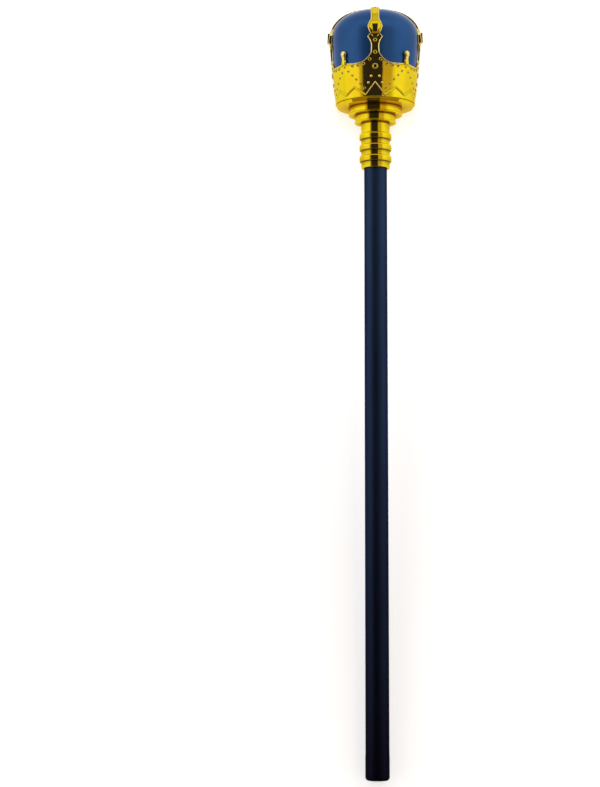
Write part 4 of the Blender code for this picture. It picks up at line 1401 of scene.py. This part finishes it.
class SCEPTRE_OT_stage(bpy.types.Operator):
    """Sets the pale floor, the light tent and the camera that looks down on the lying sceptre"""

    bl_idname = "sceptre.stage"
    bl_label = "Floor, Light and Camera"

    def execute(self, context):
        studio = context.scene.sceptre_studio
        self.floor(studio)
        self.tent(context.scene, studio)
        self.lamp(studio)
        self.camera(context.scene, studio)
        context.scene.view_settings.view_transform = "Standard"
        return {"FINISHED"}

    def floor(self, studio):
        deselect()
        bpy.ops.mesh.primitive_plane_add(size=FLOOR_SIZE)
        plane = named("floor")
        plane.location.z = -FLOOR_DROP
        material = bpy.data.materials.new("pale floor")
        material.use_nodes = True
        tree = material.node_tree
        tree.nodes.remove(tree.nodes["Principled BSDF"])
        rays = tree.nodes.new("ShaderNodeLightPath")
        matt = sockets(tree.nodes.new("ShaderNodeBsdfDiffuse"), Color=(*studio.floor, 1.0))
        glow = sockets(tree.nodes.new("ShaderNodeEmission"), Strength=studio.floor_glow)
        seen = tree.nodes.new("ShaderNodeAddShader")
        link(tree, matt.outputs[0], seen.inputs[0])
        link(tree, glow.outputs[0], seen.inputs[1])
        mirrored = sockets(tree.nodes.new("ShaderNodeEmission"), Color=(*studio.floor_seen, 1.0))
        thrown = sockets(tree.nodes.new("ShaderNodeBsdfDiffuse"), Color=(*studio.floor_bounce, 1.0))
        glossy = self.blend(tree, rays.outputs["Is Glossy Ray"], thrown, mirrored)
        shown = self.blend(tree, rays.outputs["Is Camera Ray"], glossy, seen)
        link(tree, shown.outputs[0], tree.nodes["Material Output"].inputs["Surface"])
        plane.data.materials.append(material)

    def blend(self, tree, factor, first, second):
        """A Mix Shader node that goes from the first shader to the second."""
        mixed = tree.nodes.new("ShaderNodeMixShader")
        link(tree, factor, mixed.inputs["Fac"])
        link(tree, first.outputs[0], mixed.inputs[1])
        link(tree, second.outputs[0], mixed.inputs[2])
        return mixed

    def lamp(self, studio):
        """A soft lamp over the head, which lights the tube less and less towards the butt."""
        head = mount("rest_flat")["pos_m"][0]
        deselect()
        bpy.ops.object.light_add(type="SPOT", location=(head - LAMP_BACK, 0.0, studio.lamp_height))
        lamp = named("head_lamp")
        lamp.data.energy = studio.lamp
        lamp.data.spot_size = studio.lamp_cone
        lamp.data.spot_blend = 1.0
        lamp.data.shadow_soft_size = LAMP_RADIUS
        lamp.visible_glossy = False

    def camera(self, scene, studio):
        base = lying()
        right = base.to_3x3() @ Vector((1.0, 0.0, 0.0))
        front = base.to_3x3() @ Vector((0.0, -1.0, 0.0))
        along = base.to_3x3() @ Vector((0.0, 0.0, 1.0))
        tilt = math.atan(studio.aim / studio.distance)
        up = along * math.cos(tilt) + front * math.sin(tilt)
        back = front * math.cos(tilt) - along * math.sin(tilt)
        pan = math.atan(studio.pan / studio.focal)
        turned_back = back * math.cos(pan) + right * math.sin(pan)
        turned_right = right * math.cos(pan) - back * math.sin(pan)
        rotation = Matrix((turned_right, up, turned_back)).transposed()
        rotation = rotation @ Matrix.Rotation(studio.roll, 3, "Z")
        spot = base @ Vector((0.0, -studio.distance, studio.station))
        deselect()
        bpy.ops.object.camera_add(location=spot, rotation=rotation.to_euler())
        camera = named("camera")
        camera.data.sensor_fit = "VERTICAL"
        camera.data.sensor_height = studio.sensor
        camera.data.lens = studio.focal / studio.picture_height * studio.sensor
        camera.data.shift_y = studio.shift
        scene.camera = camera

    def tent(self, scene, studio):
        """A white tent with a dark opening overhead, drawn by direction on the world."""
        world = bpy.data.worlds.new("light tent")
        scene.world = world
        world.use_nodes = True
        tree = world.node_tree
        background = tree.nodes["Background"]
        direction = tree.nodes.new("ShaderNodeTexCoord")
        parts = tree.nodes.new("ShaderNodeSeparateXYZ")
        link(tree, direction.outputs["Generated"], parts.inputs[0])
        to_right = self.computed(tree, "MULTIPLY", parts.outputs["Y"], -1.0)
        across = self.computed(tree, "ARCTAN2", to_right, parts.outputs["Z"])
        along = self.computed(tree, "ARCSINE", parts.outputs["X"])
        soft = studio.soft_edge
        softer = studio.softer_edge
        left_soft = 2.0 * soft
        head_soft = 1.5 * soft
        butt_soft = 1.5 * softer
        gap = self.edge(tree, across, studio.gap_left, left_soft)
        gap = self.computed(tree, "MULTIPLY", gap, self.edge(tree, across, studio.gap_right, -soft))
        ends = self.edge(tree, along, studio.gap_butt, softer)
        ends = self.computed(tree, "MULTIPLY", ends, self.edge(tree, along, studio.gap_head, -head_soft))
        gap = self.computed(tree, "MULTIPLY", gap, ends)
        dim = self.edge(tree, across, studio.dim_left, left_soft)
        dim = self.computed(tree, "MULTIPLY", dim, self.edge(tree, across, studio.dim_right, -softer))
        dim = self.computed(tree, "MULTIPLY", dim, ends)
        head = self.edge(tree, along, studio.head_wall_from, softer)
        butt = self.edge(tree, along, studio.butt_wall_from, -butt_soft)
        white = (studio.tent, studio.tent, studio.tent)
        walls = self.painted(tree, dim, white, studio.dim)
        walls = self.painted(tree, head, walls, studio.head_wall)
        walls = self.painted(tree, butt, walls, studio.butt_wall)
        walls = self.painted(tree, gap, walls, studio.gap_colour)
        rays = tree.nodes.new("ShaderNodeLightPath")
        lit = self.computed(tree, "MULTIPLY_ADD", rays.outputs["Is Diffuse Ray"], studio.fill - 1.0, 1.0)
        link(tree, walls, background.inputs["Color"])
        link(tree, lit, background.inputs["Strength"])
        pale = sockets(tree.nodes.new("ShaderNodeBackground"), Color=(1.0, 1.0, 1.0, 1.0), Strength=1.0)
        shown = self.blend(tree, rays.outputs["Is Camera Ray"], background, pale)
        link(tree, shown.outputs["Shader"], tree.nodes["World Output"].inputs["Surface"])

    def painted(self, tree, factor, under, over):
        """The colour over another one where a factor says; gives its output."""
        mixed = tree.nodes.new("ShaderNodeMix")
        mixed.data_type = "RGBA"
        link(tree, factor, mixed.inputs["Factor"])
        mixed.inputs["B"].default_value = (*over, 1.0)
        if isinstance(under, bpy.types.NodeSocket):
            link(tree, under, mixed.inputs["A"])
        else:
            mixed.inputs["A"].default_value = (*under, 1.0)
        return mixed.outputs["Result"]

    def computed(self, tree, operation, *values):
        """A Math node over sockets and numbers; gives its output."""
        node = tree.nodes.new("ShaderNodeMath")
        node.operation = operation
        for socket, value in zip(node.inputs, values):
            if isinstance(value, bpy.types.NodeSocket):
                link(tree, value, socket)
            else:
                socket.default_value = value
        return node.outputs[0]

    def edge(self, tree, value, limit, soft):
        """A soft edge: 1 above the limit and 0 below it, or the other way round where soft is negative."""
        node = tree.nodes.new("ShaderNodeMapRange")
        node.interpolation_type = "SMOOTHSTEP"
        start, end = (0.0, 1.0) if soft > 0.0 else (1.0, 0.0)
        sockets(node, From_Min=limit - abs(soft), From_Max=limit + abs(soft), To_Min=start, To_Max=end)
        link(tree, value, node.inputs["Value"])
        return node.outputs["Result"]


class SCEPTRE_PT_panel(bpy.types.Panel):
    """Lists the sceptre's pieces, in the order in which they are made"""

    bl_label = "Sceptre"
    bl_idname = "SCEPTRE_PT_panel"
    bl_space_type = "VIEW_3D"
    bl_region_type = "UI"
    bl_category = "Sceptre"

    def draw(self, context):
        column = self.layout.column()
        for operator in OPERATORS:
            column.operator(operator.bl_idname)


OPERATORS = (SCEPTRE_OT_shaft, SCEPTRE_OT_neck, SCEPTRE_OT_cap, SCEPTRE_OT_crown, SCEPTRE_OT_stage)
SETTINGS = {
    "sceptre_shaft": ShaftSizes,
    "sceptre_neck": NeckSizes,
    "sceptre_crown": CrownSizes,
    "sceptre_relief": ReliefSizes,
    "sceptre_cap": CapSizes,
    "sceptre_finishes": Finishes,
    "sceptre_studio": Studio,
}


def register():
    for group in SETTINGS.values():
        bpy.utils.register_class(group)
    for name, group in SETTINGS.items():
        setattr(bpy.types.Scene, name, PointerProperty(type=group))
    for operator in OPERATORS:
        bpy.utils.register_class(operator)
    bpy.utils.register_class(SCEPTRE_PT_panel)


def unregister():
    bpy.utils.unregister_class(SCEPTRE_PT_panel)
    for operator in reversed(OPERATORS):
        bpy.utils.unregister_class(operator)
    for name, group in reversed(SETTINGS.items()):
        delattr(bpy.types.Scene, name)
        bpy.utils.unregister_class(group)


def main():
    register()
    uneven_group()
    bpy.ops.sceptre.shaft()
    bpy.ops.sceptre.neck()
    bpy.ops.sceptre.cap()
    bpy.ops.sceptre.crown()
    bpy.ops.sceptre.stage()


if __name__ == "__main__":
    main()
